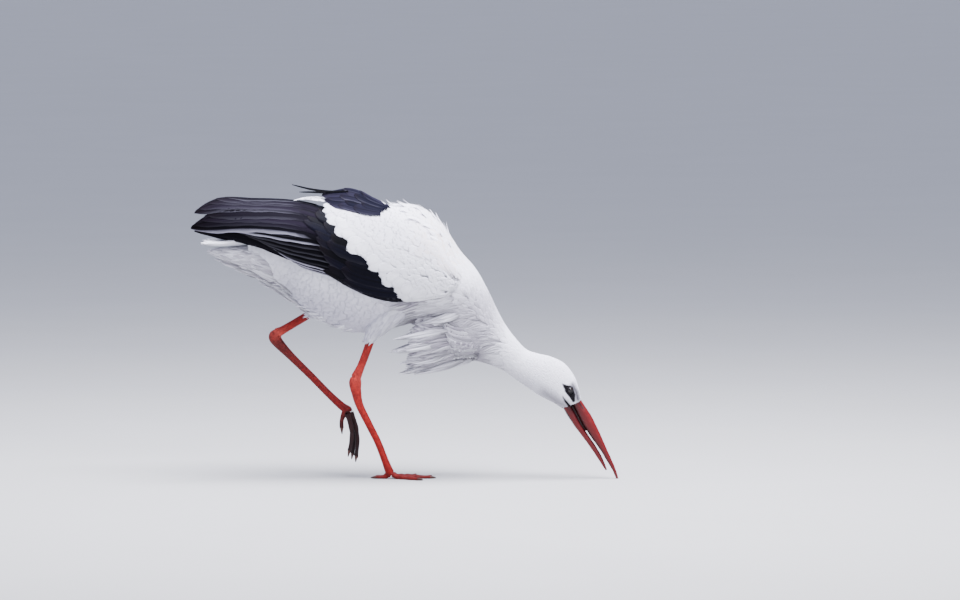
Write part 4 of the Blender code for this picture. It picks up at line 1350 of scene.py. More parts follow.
@dataclass
class Skin:
    """The whole bird's skin, sunk under the coat, with the bare skin of face, legs and feet."""

    legs: dict[str, Leg]
    voxel: float = 0.95         # grid that the lower legs are made one on
    rows: int = 200
    sides: int = 80
    face_from: float = 300.0    # x in front of which the head's marks show
    leg_top: float = 350.0      # height under which skin may be a bare leg's
    pad_span: tuple = (6, 425)  # millimetres back from the wrist that a wing's shell covers
    pad_depth: float = 3.2      # of its outer face under the coverts
    pad_least: float = 5.6      # least depth of its inner face
    samples: int = 40           # places along each limb that its colours are read at

    def body(self) -> Shape:
        """Tube of the body with an eye socket and the swelling of the lids round it."""
        rings = rings_of(Loft(BODY), self.rows, self.sides,
                         lambda u: follow(COAT_DEPTH, u)[:, 0])
        x, _, z = EYE_PLACE
        away = np.hypot(rings[..., 0] - x, rings[..., 2] - z)
        swell = 1.5 * bell(away, 8.5, 2.4) - 2.5 * bell(away, 0, 5.5)
        rings[..., 1] += np.sign(rings[..., 1]) * swell * (np.abs(rings[..., 1]) > 8)
        return tube(rings)

    def wing_pad(self, side: int) -> Shape:
        """Closed shell under one wing's coverts: outer face, then the inner face backwards."""
        pad = WingPad(side)
        u, v = crossed(np.linspace(*self.pad_span, 100), np.linspace(0.03, 0.97, 30))
        point, _, _, normal = pad.frame(u, v)
        thick = follow(WING_EDGES, (WRIST_X - u).ravel())[:, 2].reshape(u.shape)
        outer = point - normal * self.pad_depth
        inner = point - normal * np.maximum(thick, self.pad_least)[..., None]
        rings = np.concatenate([outer, inner[:, ::-1]], axis=1)
        return tube(rings if side < 0 else rings[:, ::-1])

    def ball(self, x: float, out: float, z: float, radius: float, side: int) -> Array:
        """Rings of a ball from its lowest point to its highest."""
        angle, turn = crossed(np.linspace(0.1, math.pi - 0.1, 16), turns(24))
        return np.stack([x + radius * np.sin(angle) * np.cos(turn),
                         side * out + 0.8 * radius * np.sin(angle) * np.sin(turn),
                         z - radius * np.cos(angle)], axis=-1)

    def lower_leg(self, leg: Leg) -> bpy.types.Object:
        """Shank, tarsus and toes made one surface by a fine voxel remesh, flat on the ground."""
        parts = [tube(rings_of(limb, 90 if limb is leg.tarsus else 48, 26, 0.0, (0.0, 0.05)))
                 for limb in leg.bare()]
        heel = tube(self.ball(*HEELS[leg.letter], SIDES[leg.letter]))
        bare = [part.plain() for part in (*parts, heel)]
        rough = Shape.joined(bare).piece("rough_leg_" + leg.letter, plain_material())
        smooth = remeshed(rough, self.voxel)
        points = mesh_points(smooth)
        points[:, 2] = np.maximum(points[:, 2], 0)
        smooth.data.vertices.foreach_set("co", points.astype(np.float32).ravel())
        return smooth

    def colours(self, points: Array) -> Array:
        """Colour of each point of the skin: down, wing black, leg reds, and face marks with painted
        shade.
        """
        tint = np.broadcast_to(DOWN, points.shape).copy()
        _, reach, share = wing_place(points)
        edge = follow(COVERT_REAR, np.clip(share, 0, 1))[:, 0]
        black = (points[:, 0] < edge + 12) & (share > -0.05) & (share < 1.05) & (reach > 0.85)
        tint[black & (points[:, 0] > WING_REAR - 5)] = INK
        face = points[:, 0] > self.face_from
        tint[face] = head_marks(points[face], np.broadcast_to(WHITE * 0.8, (face.sum(), 3)))
        return self.leg_colours(points, tint)

    def leg_colours(self, points: Array, tint: Array) -> Array:
        """Colour points near a bare limb by the nearest place on its middle line."""
        places, tones, radii = [], [], []
        for leg in self.legs.values():
            names = ["shank", "tarsus", *leg.toes]
            for name, limb in zip(names, leg.bare()):
                key = (leg.letter, name)
                table = LEG_TONES.get(key) or LEG_TONES[(leg.letter, "toe")]
                u = np.linspace(*limb.u_range, self.samples)
                colours = np.array([linear(code) for code in table])
                at = np.linspace(0, len(table) - 1, self.samples)
                tones.append(np.stack([np.interp(at, np.arange(len(table)), colours[:, channel])
                                       for channel in range(3)], axis=1))
                places.append(limb.centre(u))
                radii.append(follow(limb.rows, u)[:, 3])
        places, tones, radii = (np.concatenate(part) for part in (places, tones, radii))
        low = np.flatnonzero(points[:, 2] < self.leg_top)
        for chunk in np.array_split(low, max(1, len(low) // 4000)):
            gap = np.linalg.norm(points[chunk, None] - places[None], axis=2) - radii[None] * 0.5
            nearest = gap.argmin(axis=1)
            close = gap[np.arange(len(chunk)), nearest] < radii[nearest] * 0.5 + 3.5
            tint[chunk[close]] = tones[nearest[close]]
        return tint

    def build(self) -> bpy.types.Object:
        """Join body, wing pads, thighs and lower legs by exact union, then paint the result."""
        parts = [self.wing_pad(side) for side in SIDES.values()]
        for leg in self.legs.values():
            parts.append(tube(rings_of(leg.thigh, 40, 40, 5.0, (0.0, 0.1))))
        for rows, fullness, depth, end in ((RUFF, 2.1, 12.0, -1.1), (VENT, 2.1, 10.0, -0.3),
                                           (TAIL, 2.6, 2.6, -0.3)):
            parts.append(tube(rings_of(Loft(rows, fullness), 40, 48, depth, (0.0, end))))
        pieces = [part.plain().piece("under", plain_material()) for part in parts]
        pieces += [self.lower_leg(leg) for leg in self.legs.values()]
        skin = self.body().plain().piece("skin", plain_material())
        for piece in pieces:
            unite(skin, piece)
        points = mesh_points(skin)
        paint(skin.data, self.colours(points / MM - [SHIFT_X, 0, 0]))
        skin.data.materials.clear()
        skin.data.materials.append(SkinFinish().material())
        finish_piece(skin, "leg_skin", "head", "neck_upper", "neck_lower", "trunk", "rump",
                     *[f"{part}_{letter}" for letter in SIDES
                       for part in ("thigh", "shank", "tarsus", *[f"toe_{toe}" for toe in TOES])])
        return skin


def plain_material() -> bpy.types.Material:
    """One material for pieces that are only material for others."""
    return bpy.data.materials.get("unfinished") or bpy.data.materials.new("unfinished")


def mesh_points(piece: bpy.types.Object) -> Array:
    """Coordinates of a mesh's points, in metres."""
    points = np.empty(len(piece.data.vertices) * 3, np.float32)
    piece.data.vertices.foreach_get("co", points)
    return points.reshape(-1, 3).astype(float)


def applied(piece: bpy.types.Object) -> bpy.types.Object:
    """Replace a piece's mesh by what its modifiers make of it."""
    depsgraph = bpy.context.evaluated_depsgraph_get()
    mesh = bpy.data.meshes.new_from_object(piece.evaluated_get(depsgraph))
    piece.modifiers.clear()
    old = piece.data
    piece.data = mesh
    bpy.data.meshes.remove(old)
    return piece


def remeshed(piece: bpy.types.Object, voxel: float) -> bpy.types.Object:
    """Make overlapping closed shells one shell on a voxel grid of the given size, and relax it."""
    grid = piece.modifiers.new("grid", "REMESH")
    grid.mode = "VOXEL"
    grid.voxel_size = voxel * MM
    grid.use_smooth_shade = True
    relax = piece.modifiers.new("relax", "SMOOTH")
    relax.factor = 0.5
    relax.iterations = 3
    return applied(piece)


def unite(piece: bpy.types.Object, other: bpy.types.Object) -> None:
    """Exact union of two closed pieces; the second is used up."""
    union = piece.modifiers.new("union", "BOOLEAN")
    union.operation = "UNION"
    union.solver = "EXACT"
    union.object = other
    applied(piece)
    bpy.data.objects.remove(other, do_unlink=True)
    piece.data.polygons.foreach_set("use_smooth", np.ones(len(piece.data.polygons), bool))


# --- Bill, eyes and claws -----------------------------------------------------------------------
@dataclass
class Bill:
    """Both halves of the horny bill, with the ridge, cutting edges, nostril slits and groove.

    Between their roots lies the dark soft lining of the mouth, narrower than the horn.
    """

    rows: int = 150
    sides: int = 48
    finish: HornFinish = HornFinish("bill_keratin", roughness=0.36)
    red: Array = field(default_factory=lambda: tone("#4c0609"))
    ridge_red: Array = field(default_factory=lambda: tone("#640c0b"))
    root_red: Array = field(default_factory=lambda: tone("#2c0407"))

    def half(self, rows: tuple, upper: bool) -> Shape:
        """Loft one half and work its surface: each feature is a small outward or inward step."""
        surface = Loft(rows, 2.2)
        low, high = surface.u_range
        u, v = crossed(np.linspace(low - 0.25, high, self.rows), turns(self.sides))
        point, _, _, normal = surface.frame(u, v)
        up = np.sin(v)
        step = 0.12 * np.sin(7 * u + 3 * np.cos(v)) + 0.08 * np.sin(17 * u + 5 * v)
        nostril = np.zeros_like(u)
        if upper:
            slant = 0.50 + 0.10 * (u - 1)
            nostril = bell(u, 0.95, 0.42, 4) * bell(up, slant, 0.13)
            groove = ease(u, 0.4, 1.2) * ease(u, 3.6, 2.0) * bell(up, 0.42, 0.10)
            step += 0.7 * bell(up, 1, 0.12) - 1.7 * nostril - 0.5 * groove
        inner, lip = (-1, 0.1) if upper else (1, 0.7)
        step += lip * bell(up, inner, 0.30) * ease(u, 3.0, 1.5)
        rings = point + normal * (step * np.minimum(1, (high - u) + 0.15))[..., None]
        rings[..., 2] = np.maximum(rings[..., 2], 0)
        colours = self.paint(u, up * -inner, nostril, upper, rings)
        shape = tube(surface.wound(rings))
        shape.colours = capped(surface.wound(colours))
        return shape

    def paint(self, u: Array, outer: Array, nostril: Array, upper: bool, rings: Array) -> Array:
        """Red horn: deeper at the root and cutting edge, brighter on the ridge, dusky slits."""
        colours = mix(np.broadcast_to(self.red, (*u.shape, 3)), self.ridge_red,
                      ease(outer, 0.1, 0.9) * 0.7)
        colours = mix(colours, self.root_red, ease(u, 2.2, 0.2) * ease(outer, 0.7, -0.2) * 0.8)
        colours = mix(colours, self.root_red * 0.45, ease(outer, -0.35, -0.8) * 0.85)
        colours = mix(colours, MUZZLE_BLACK, np.clip(nostril * 1.3, 0, 1))
        chin = chain(rings.reshape(-1, 3), CHIN_BLACK).reshape(u.shape)
        return colours if upper else mix(colours, MUZZLE_BLACK, 0.9 * chin)

    def build(self) -> None:
        """Build and finish both halves."""
        material = self.finish.material()
        for name, rows in (("bill_upper", BILL_UPPER), ("bill_lower", BILL_LOWER)):
            shape = self.half(rows, name == "bill_upper")
            finish_piece(shape.piece(name + "_horn", material), "bill_horn", name)
        lining = tube(rings_of(Loft(MOUTH), 24, 24))
        lining.colours = np.broadcast_to(self.root_red * 0.35, lining.points.shape)
        skin = SkinFinish("mouth_lining_skin", plate_mm=1.5).material()
        finish_piece(lining.piece("mouth_lining", skin), "leg_skin")


@dataclass
class Eyes:
    """Dark brown eyes whose wet front bulges, each in a rim of bare black lid."""

    ball_radius: float = 8.0
    pupil: float = 0.42         # angle of its edge from the eye's axis, radians
    iris: float = 0.86          # the same of the iris
    rows: int = 40
    sides: int = 48

    def around(self, radius: Array, angle: Array, turn: Array, side: int) -> Array:
        """Points at a radius from the ball's middle, by angle from its outward axis and turn."""
        x, y, z = EYE_PLACE
        return np.stack([x + radius * np.sin(angle) * np.cos(turn),
                         side * (y + radius * np.cos(angle)),
                         z + radius * np.sin(angle) * np.sin(turn)], axis=-1)

    def ball(self, side: int) -> Shape:
        """Ball whose front bulges by a cosine within the iris; rings run from front to back."""
        angle, turn = crossed(np.linspace(0.03, math.pi - 0.03, self.rows), turns(self.sides))
        bulge = 0.5 * np.cos(np.clip(angle / self.iris, 0, 1) * math.pi / 2)
        rings = self.around(self.ball_radius + bulge, angle, turn, side)
        shape = tube(rings if side > 0 else rings[:, ::-1])
        iris = tone("#1c110c") * (0.7 + 0.5 * np.sin(turn * 17)[..., None] ** 2)
        colours = mix(iris, MUZZLE_BLACK * 0.3, ease(angle, self.pupil + 0.05, self.pupil - 0.05))
        colours = mix(colours, MUZZLE_BLACK, ease(angle, self.iris - 0.1, self.iris + 0.05))
        colours = colours if side > 0 else colours[:, ::-1]
        shape.colours = capped(colours)
        return shape

    def rim(self, side: int) -> Shape:
        """Rim of the lids: a ring of changing thickness round an almond opening of the ball."""
        turn, section = crossed(turns(72), turns(14))
        open_angle = 0.86 + 0.14 * np.cos(2 * (turn - 0.9))
        thick = 1.15 + 0.35 * np.sin(turn) ** 2
        angle = open_angle + thick * np.cos(section) / self.ball_radius * 1.3
        radius = self.ball_radius + 0.35 + thick * 0.62 * np.sin(section)
        rings = self.around(radius, angle, turn, side)
        if side < 0:
            rings = rings[:, ::-1]
        count, sides = turn.shape
        ring, part = (number.ravel() for number in crossed(np.arange(count), np.arange(sides)))
        after, beside = (ring + 1) % count, (part + 1) % sides
        faces = np.stack([ring * sides + part, ring * sides + beside, after * sides + beside,
                          after * sides + part], axis=1)
        points = rings.reshape(-1, 3)
        return Shape(points, [faces], np.broadcast_to(MUZZLE_BLACK, points.shape))

    def build(self) -> None:
        """Build and finish both eyes and their lids."""
        cornea, tree, shader = shaded("wet_cornea", Roughness=0.04, IOR=1.38,
                                      Specular_IOR_Level=0.6)
        tint = add(tree, "ShaderNodeAttribute", attribute_name="Tint")
        tree.links.new(tint.outputs["Color"], shader.inputs["Base Color"])
        lid_skin = SkinFinish("bare_eyelid_skin", plate_mm=0.9).material()
        for letter, side in SIDES.items():
            finish_piece(self.ball(side).piece("eyeball_" + letter, cornea), "eye",
                         "eye_" + letter)
            finish_piece(self.rim(side).piece("eyelids_" + letter, lid_skin), "leg_skin")


@dataclass
class Claws:
    """Blunt dark claws, flat where they meet the ground."""

    legs: dict[str, Leg]
    rows: int = 22
    sides: int = 18

    def build(self) -> None:
        """Build and finish the eight claws."""
        material = HornFinish("claw_keratin", roughness=0.42, streak_mm=0.8).material()
        pale, dark = tone("#5b352c"), tone("#1d1211")
        for leg in self.legs.values():
            for name, limb in leg.claws.items():
                rings = rings_of(limb, self.rows, self.sides)
                rings[..., 2] = np.maximum(rings[..., 2], 0)
                shape = tube(rings)
                share = np.repeat(np.linspace(0, 1, self.rows), self.sides)
                share = np.concatenate([share, [0, 1]])
                shape.colours = mix(np.broadcast_to(pale, (len(share), 3)), dark, share**0.6)
                piece = shape.piece(f"claw_horn_{name}_{leg.letter}", material)
                finish_piece(piece, "claw_horn", f"claw_{name}_{leg.letter}")


# --- Coat -----------------------------------------------------------------------------------------
# Ring number on the body, then the small feathers there: distance between rows and between
# neighbours, length and width.
BODY_FEATHERS = (
    (0, 2.2, 1.9, 7, 4.2), (1, 2.4, 2.1, 9, 4.8), (3, 2.9, 2.5, 13, 5.8), (5, 3.7, 3.2, 19, 7.5),
    (7.6, 4.8, 4.0, 28, 9.5), (10.5, 6.6, 5.8, 38, 13), (13, 8.0, 7.2, 44, 17),
    (16.7, 8.6, 7.8, 46, 19), (19, 7.4, 6.4, 40, 16),
)


def breast_share(points: Array) -> Array:
    """How far a point lies on the lower breast and the front of the neck, from 0 to 1."""
    x, _, z = points.T
    middle = follow(((60, 400), (110, 385), (160, 330), (210, 275), (260, 238)), x)[:, 0]
    return ease(z - middle, 45, -25) * ease(x, 245, 205) * ease(x, 20, 70)


def neck_flow(points: Array, forward: Array) -> Array:
    """Lie of the body feathers: along the body, but swept straight back on the lower breast.

    On the breast the lie also swings slowly up and down from place to place, in soft waves.
    """
    x, _, z = points.T
    share = breast_share(points)[:, None]
    swing = 0.22 * np.sin(0.045 * x + 0.15 * z) + 0.12 * np.sin(0.11 * x - 0.05 * z)
    back = np.stack([-np.ones(len(x)), np.zeros(len(x)), swing - 0.16], axis=1)
    return unit(forward * (1 - share) + back * share)


def over_ruff(points: Array, rear: float = -1.6) -> Array:
    """Push points out of the ruff, so that the breast's feathers pass smoothly over its front.

    The ruff's rings lean, so x is first moved along the lean to the ring that a point lies on.

    Args:
        points: points near the ruff.
        rear: height over the ruff's rear part that they keep; over its front that is 1 mm.
    Returns:
        The points moved out.
    """
    ruff = np.array(RUFF, float)
    mean = (ruff[:, 0] + ruff[:, 2]) / 2
    lean = (ruff[:, 0] - ruff[:, 2]) / (ruff[:, 1] - ruff[:, 3])
    keys = np.column_stack([mean, (ruff[:, 1] + ruff[:, 3]) / 2, (ruff[:, 1] - ruff[:, 3]) / 2,
                            ruff[:, 4], lean])
    x, y, z = points.T
    middle, _, _, slope = follow(keys, x).T
    middle, height, width, _ = follow(keys, np.clip(x - slope * (z - middle), 10, 186)).T
    reach = np.hypot(y / width, (z - middle) / height)
    weight = ease(x, 20, 60) * ease(x, 196, 178) * ease(reach, 0.15, 0.45)
    wanted = 1 + (rear + (1 - rear) * ease(x, 95, 150)) / width
    grow = 1 + weight * np.maximum(wanted - reach, 0) * 0.94 / np.maximum(reach, 0.2)
    pushed = points.copy()
    pushed[:, 1] *= grow
    pushed[:, 2] = middle + (z - middle) * grow
    return pushed


def white_tint(points: Array, rng: np.random.Generator) -> Array:
    """White of each feather: cream on the side of the mantle, with painted shade below, in the crease
    under the wing's lower front and on the breast.

    Each feather also differs a little from its neighbours, and more so on the breast, where
    grey shafts show between white edges.
    """
    x, _, z = points.T
    breast = ease(z, 400, 340) * ease(x, 30, 80) * ease(x, 235, 190)
    spread = 0.025 + 0.11 * breast
    lightness = 1 - np.abs(rng.normal(0, 1, len(x))) * spread
    cream = ease(x, 40, 90) * ease(x, 190, 150) * ease(z, 400, 440)
    tint = mix(np.broadcast_to(WHITE, points.shape), CREAM,
               cream * rng.uniform(0, 0.8, len(x)) ** 1.5)
    _, _, share = wing_place(points)
    # painted shade in the crease under the wing's lower front edge
    crease_shade = ease(share, -0.22, -0.02) * ease(share, 0.3, 0.1)
    crease_shade = crease_shade * ease(x, -20, 30) * ease(x, 125, 105)
    # painted shade on the lower body behind the breast
    shade_below = 0.7 * ease(z, 440, 300) * ease(x, 130, 20)
    # painted shade on the breast, deeper low down
    tint = mix(tint, DEEP_SHADE_GREY, np.clip(0.7 * breast + 0.6 * crease_shade, 0, 0.9))
    tint = mix(tint, DEEP_SHADE_GREY * 0.6, 0.6 * breast * ease(z, 335, 255))
    return mix(tint, SHADE_GREY, shade_below) * lightness[:, None]


@dataclass
class BodyCoat:
    """Small contour feathers of head, neck, trunk and rump, smallest on the face."""

    seed: int = 11
    surface: Loft = field(default_factory=lambda: Loft(BODY))

    def flock(self, start: float, stop: float, rng: np.random.Generator,
              keep: Optional[Callable] = None, stretch: float = 1.0) -> Flock:
        """Scatter feathers between two rings.

        Args:
            start, stop: ring numbers.
            rng: source of the variation.
            keep: which root points to keep.
            stretch: how many times longer and narrower than usual they are.
        Returns:
            The flock.
        """
        u, v = scatter(self.surface, BODY_FEATHERS, start, stop, rng)
        points = self.surface.at(u, v)
        hidden = under_wing(points)
        kept = ~hidden if keep is None else ~hidden & keep(points)
        u, v, points = u[kept], v[kept], points[kept]
        length, width = follow(BODY_FEATHERS, u)[:, 2:].T * np.array([[stretch], [1 / stretch]])
        depth = follow(COAT_DEPTH, u)[:, 0]
        count = len(u)
        belly = ease(points[:, 2], 400, 320) * ease(points[:, 0], 40, -20)
        loose = 0.35 + 0.65 * ease(u, 6, 12)
        return Flock(
            u, v, length * rng.uniform(0.85, 1.18, count), width * rng.uniform(0.85, 1.15, count),
            # painted shade: feathers greyer towards the underside of the body
            mix(white_tint(points, rng), DEEP_SHADE_GREY, 0.35 * ease(-np.sin(v), 0.0, 0.9)),
            lie=rng.normal(0, 0.10, count) * (1 + belly),
            sweep=rng.normal(0, 0.10, count), wave=0.05 + 0.08 * belly,
            sink=-0.7 * depth, rise=rng.normal(-0.1, 0.07, count) * loose,
            stand=np.abs(rng.normal(0, 0.7, count)) * belly + 0.02 * depth * rng.random(count),
            tilt=rng.normal(0, 0.05, count) * loose)

    def build(self) -> None:
        """Lay the tracts from rump to face as pieces of their own."""
        material = PlumageFinish("white_contour_feather_keratin", 0.85, 0.15, glow=0.3,
                                 streaks=0.10).material()
        fine = Vane(5, 4, Tip.ROUND, thickness=0.12, arch=0.12, dip=0.15)
        soft = Vane(6, 5, Tip.RAGGED, thickness=0.15, arch=0.12, notch=0.08, dip=0.25)
        broad = Vane(6, 6, Tip.RAGGED, thickness=0.18, arch=0.12, notch=0.09, dip=0.35)
        lock = Vane(8, 5, Tip.LANCE, thickness=0.18, arch=0.14, dusk=0.10)
        rng = np.random.default_rng(self.seed)
        plans = (
            ("coat_head", 0.15, 5.0, fine, None, 1.0),
            ("coat_neck", 4.9, 10.7, soft, lambda p: breast_share(p) < 0.45, 1.0),
            ("coat_belly", 10.5, 17.0, broad,
             lambda p: (p[:, 2] < 415) & (breast_share(p) < 0.45), 1.0),
            ("coat_breast", 6.5, 14.0, lock, lambda p: breast_share(p) >= 0.35, 1.8),
            ("coat_mantle", 10.5, 16.9, broad,
             lambda p: (p[:, 2] >= 415) & (breast_share(p) < 0.45), 1.0),
            ("coat_rump", 16.7, 19.0, broad, None, 1.0),
        )
        presses = {"coat_mantle": over_wings, "coat_rump": over_wings, "coat_belly": over_ruff,
                   "coat_breast": over_ruff}
        for name, start, stop, vane, keep, stretch in plans:
            shape = lay(self.surface, vane, self.flock(start, stop, rng, keep, stretch), rng,
                        neck_flow, presses.get(name),
                        marks=head_marks if name == "coat_head" else None)
            slot = "body_plumage" if name != "coat_rump" else "loose_plumage"
            finish_piece(shape.piece(name, material, softness=0.62), slot)


@dataclass(frozen=True)
class Tuft:
    """A patch of looser feathers that break the body's outline or streak its side."""

    name: str
    rings: tuple[float, float]      # range along the body
    turns: tuple[float, float]      # range round it in degrees, 90 is the back and -90 the belly
    count: int
    length: tuple[float, float]
    width: tuple[float, float]
    stand: tuple[float, float]      # height of the tips over the coat
    heading: tuple[float, float, float]
    # most grey of a feather, as painted shade
    grey: float = 0.3
    dusk: float = 0.05
    darkest: float = 0.88       # how dark the darkest of its feathers are against the others: random tone on the mantle, painted shade on belly and breast
    softness: float = 0.4


TUFTS = (
    Tuft("mantle_tips", (12.0, 15.6), (48, 132), 70, (30, 52), (10, 17), (2, 11),
         (-1, 0, 0.1), 0.1),
    Tuft("belly_fringe", (14.8, 18.8), (-118, -62), 230, (24, 44), (6, 10), (1, 9),
         (-1, 0, -0.3), 0.6),
    *(Tuft("breast_locks_" + letter, (8.2, 12.6), around, 290, (56, 100), (7, 12), (0, 3.0),
           (-1, 0, -0.30), grey=1.0, dusk=0.14, darkest=0.5)
      for letter, around in (("r", (190, 268)), ("l", (-88, -10)))),
)


@dataclass
class LooseTufts:
    """The looser feathers over the body's coat."""

    seed: int = 141
    surface: Loft = field(default_factory=lambda: Loft(BODY))

    def build(self) -> None:
        """Lay each tuft with roots spread evenly at random over its patch."""
        rng = np.random.default_rng(self.seed)
        material = PlumageFinish("white_loose_feather_keratin", 0.85, 0.12, glow=0.25,
                                 streaks=0.10).material()
        for tuft in TUFTS:
            count = tuft.count
            u = rng.uniform(*tuft.rings, count)
            v = np.radians(rng.uniform(*tuft.turns, count))
            # painted shade: feathers greyed and darkened by the tuft's grey and darkest
            grey = rng.uniform(0, tuft.grey, (count, 1))
            tint = WHITE * (1 - grey) + DEEP_SHADE_GREY * grey
            tint = tint * rng.uniform(tuft.darkest, 1, (count, 1))
            flock = Flock(u, v, rng.uniform(*tuft.length, count), rng.uniform(*tuft.width, count),
                          tint, lie=rng.normal(0, 0.09, count), sweep=rng.normal(0, 0.10, count),
                          wave=0.08, sink=-4.0, rise=0.1, stand=rng.uniform(*tuft.stand, count),
                          tilt=rng.normal(0, 0.15, count))
            vane = Vane(9, 5, Tip.LANCE, 0.25, arch=0.14, dusk=tuft.dusk)
            way = np.array(tuft.heading)
            shape = lay(self.surface, vane, flock, rng,
                        lambda points, forward: forward * 0.4 + unit(way),
                        lambda points: over_ruff(points, 2.0))
            finish_piece(shape.piece("coat_" + tuft.name, material, tuft.softness), "body_plumage")


@dataclass
class WingCoat:
    """White coverts of a folded wing, tiny at the wrist and broad at their scalloped edge."""

    letter: str
    seed: int = 31
    # Millimetres back from the wrist: row distance, neighbour distance, length, width.
    sizes: tuple = ((0, 5.5, 5.0, 13, 8), (60, 7, 6.5, 20, 11), (130, 10, 9, 30, 15),
                    (200, 13, 12, 40, 20), (270, 15, 14, 44, 23))

    def build(self) -> None:
        """Lay the small coverts, then the last row whose round ends make the edge."""
        rng = np.random.default_rng(self.seed)
        pad = WingPad(SIDES[self.letter])
        u, v = scatter(pad, self.sizes, 2, 270, rng)
        v = np.clip(v, 0.01, 0.99)
        length, width = follow(self.sizes, u)[:, 2:].T
        edge = WRIST_X - follow(COVERT_REAR, v)[:, 0]
        kept = (u + length < edge - 2) & (u > pad.front_edge(v) - 4)
        u, v, length, width = u[kept], v[kept], length[kept], width[kept]
        count = len(u)
        flock = Flock(u, v, length * rng.uniform(0.9, 1.15, count),
                      width * rng.uniform(0.9, 1.12, count),
                      WHITE * (1 - np.abs(rng.normal(0, 0.022, (count, 1)))),
                      lie=rng.normal(0, 0.09, count), sweep=rng.normal(0, 0.08, count),
                      sink=-3.0, rise=rng.normal(-0.1, 0.07, count),
                      tilt=rng.normal(0, 0.05, count))
        small = lay(pad, Vane(6, 6, Tip.RAGGED, 0.18, arch=0.12, notch=0.08, dip=0.35), flock, rng)
        rows = [small,
                self.last_row(pad, rng, 2 * SCALLOPS + 1, length=46, width=27, short=15),
                self.last_row(pad, rng, SCALLOPS + 1, length=66, width=41, short=-3)]
        material = PlumageFinish("white_wing_covert_keratin", 0.8, 0.2, glow=0.5).material()
        piece = Shape.joined(rows).piece(f"coat_wing_coverts_{self.letter}", material, 0.5)
        finish_piece(piece, "loose_plumage", f"wing_{self.letter}_coverts")

    def last_row(self, pad: WingPad, rng: np.random.Generator, count: int, length: float,
                 width: float, short: float) -> Shape:
        """A row of broad rounded coverts, turned a little down, that makes the white edge.

        Args:
            pad: the wing's surface.
            rng: source of the small irregularities.
            count: how many across the wing.
            length, width: size of each.
            short: how far the row ends before the edge.
        Returns:
            The joined row.
        """
        turn, girth = 0.32, 200.0
        v = (np.arange(count) + 0.5) / count
        tip = WRIST_X - follow(COVERT_REAR, v)[:, 0] + rng.uniform(-2, 2, count) - short
        tint = WHITE * (1 - np.abs(rng.normal(0, 0.02, (count, 1))))
        root_v = v + length * math.sin(turn) / girth
        flock = Flock(tip - length * math.cos(turn), np.clip(root_v, 0, 1.02),
                      np.full(count, length), width * rng.uniform(0.9, 1.15, count), tint,
                      lie=-pad.side * (turn + rng.normal(0, 0.06, count)), sink=-3.0,
                      rise=0.1 + 0.03 * short, tilt=-0.3)
        vane = Vane(10, 11, Tip.RAGGED, 0.3, arch=0.08, notch=0.05, dip=0.3)
        return lay(pad, vane, flock, rng)


FLIGHT_VANE = Vane(22, 9, Tip.QUILL, 0.45, arch=0.03, ridge=0.4)
# Where the tips of the broad inner flight feathers lie, lowest first: x and share of the wing.
TERTIAL_TIPS = (
    (-437, 0.23), (-429, 0.31), (-414, 0.40), (-402, 0.48), (-429, 0.64), (-419, 0.71),
    (-401, 0.79), (-386, 0.88), (-366, 0.94),
)


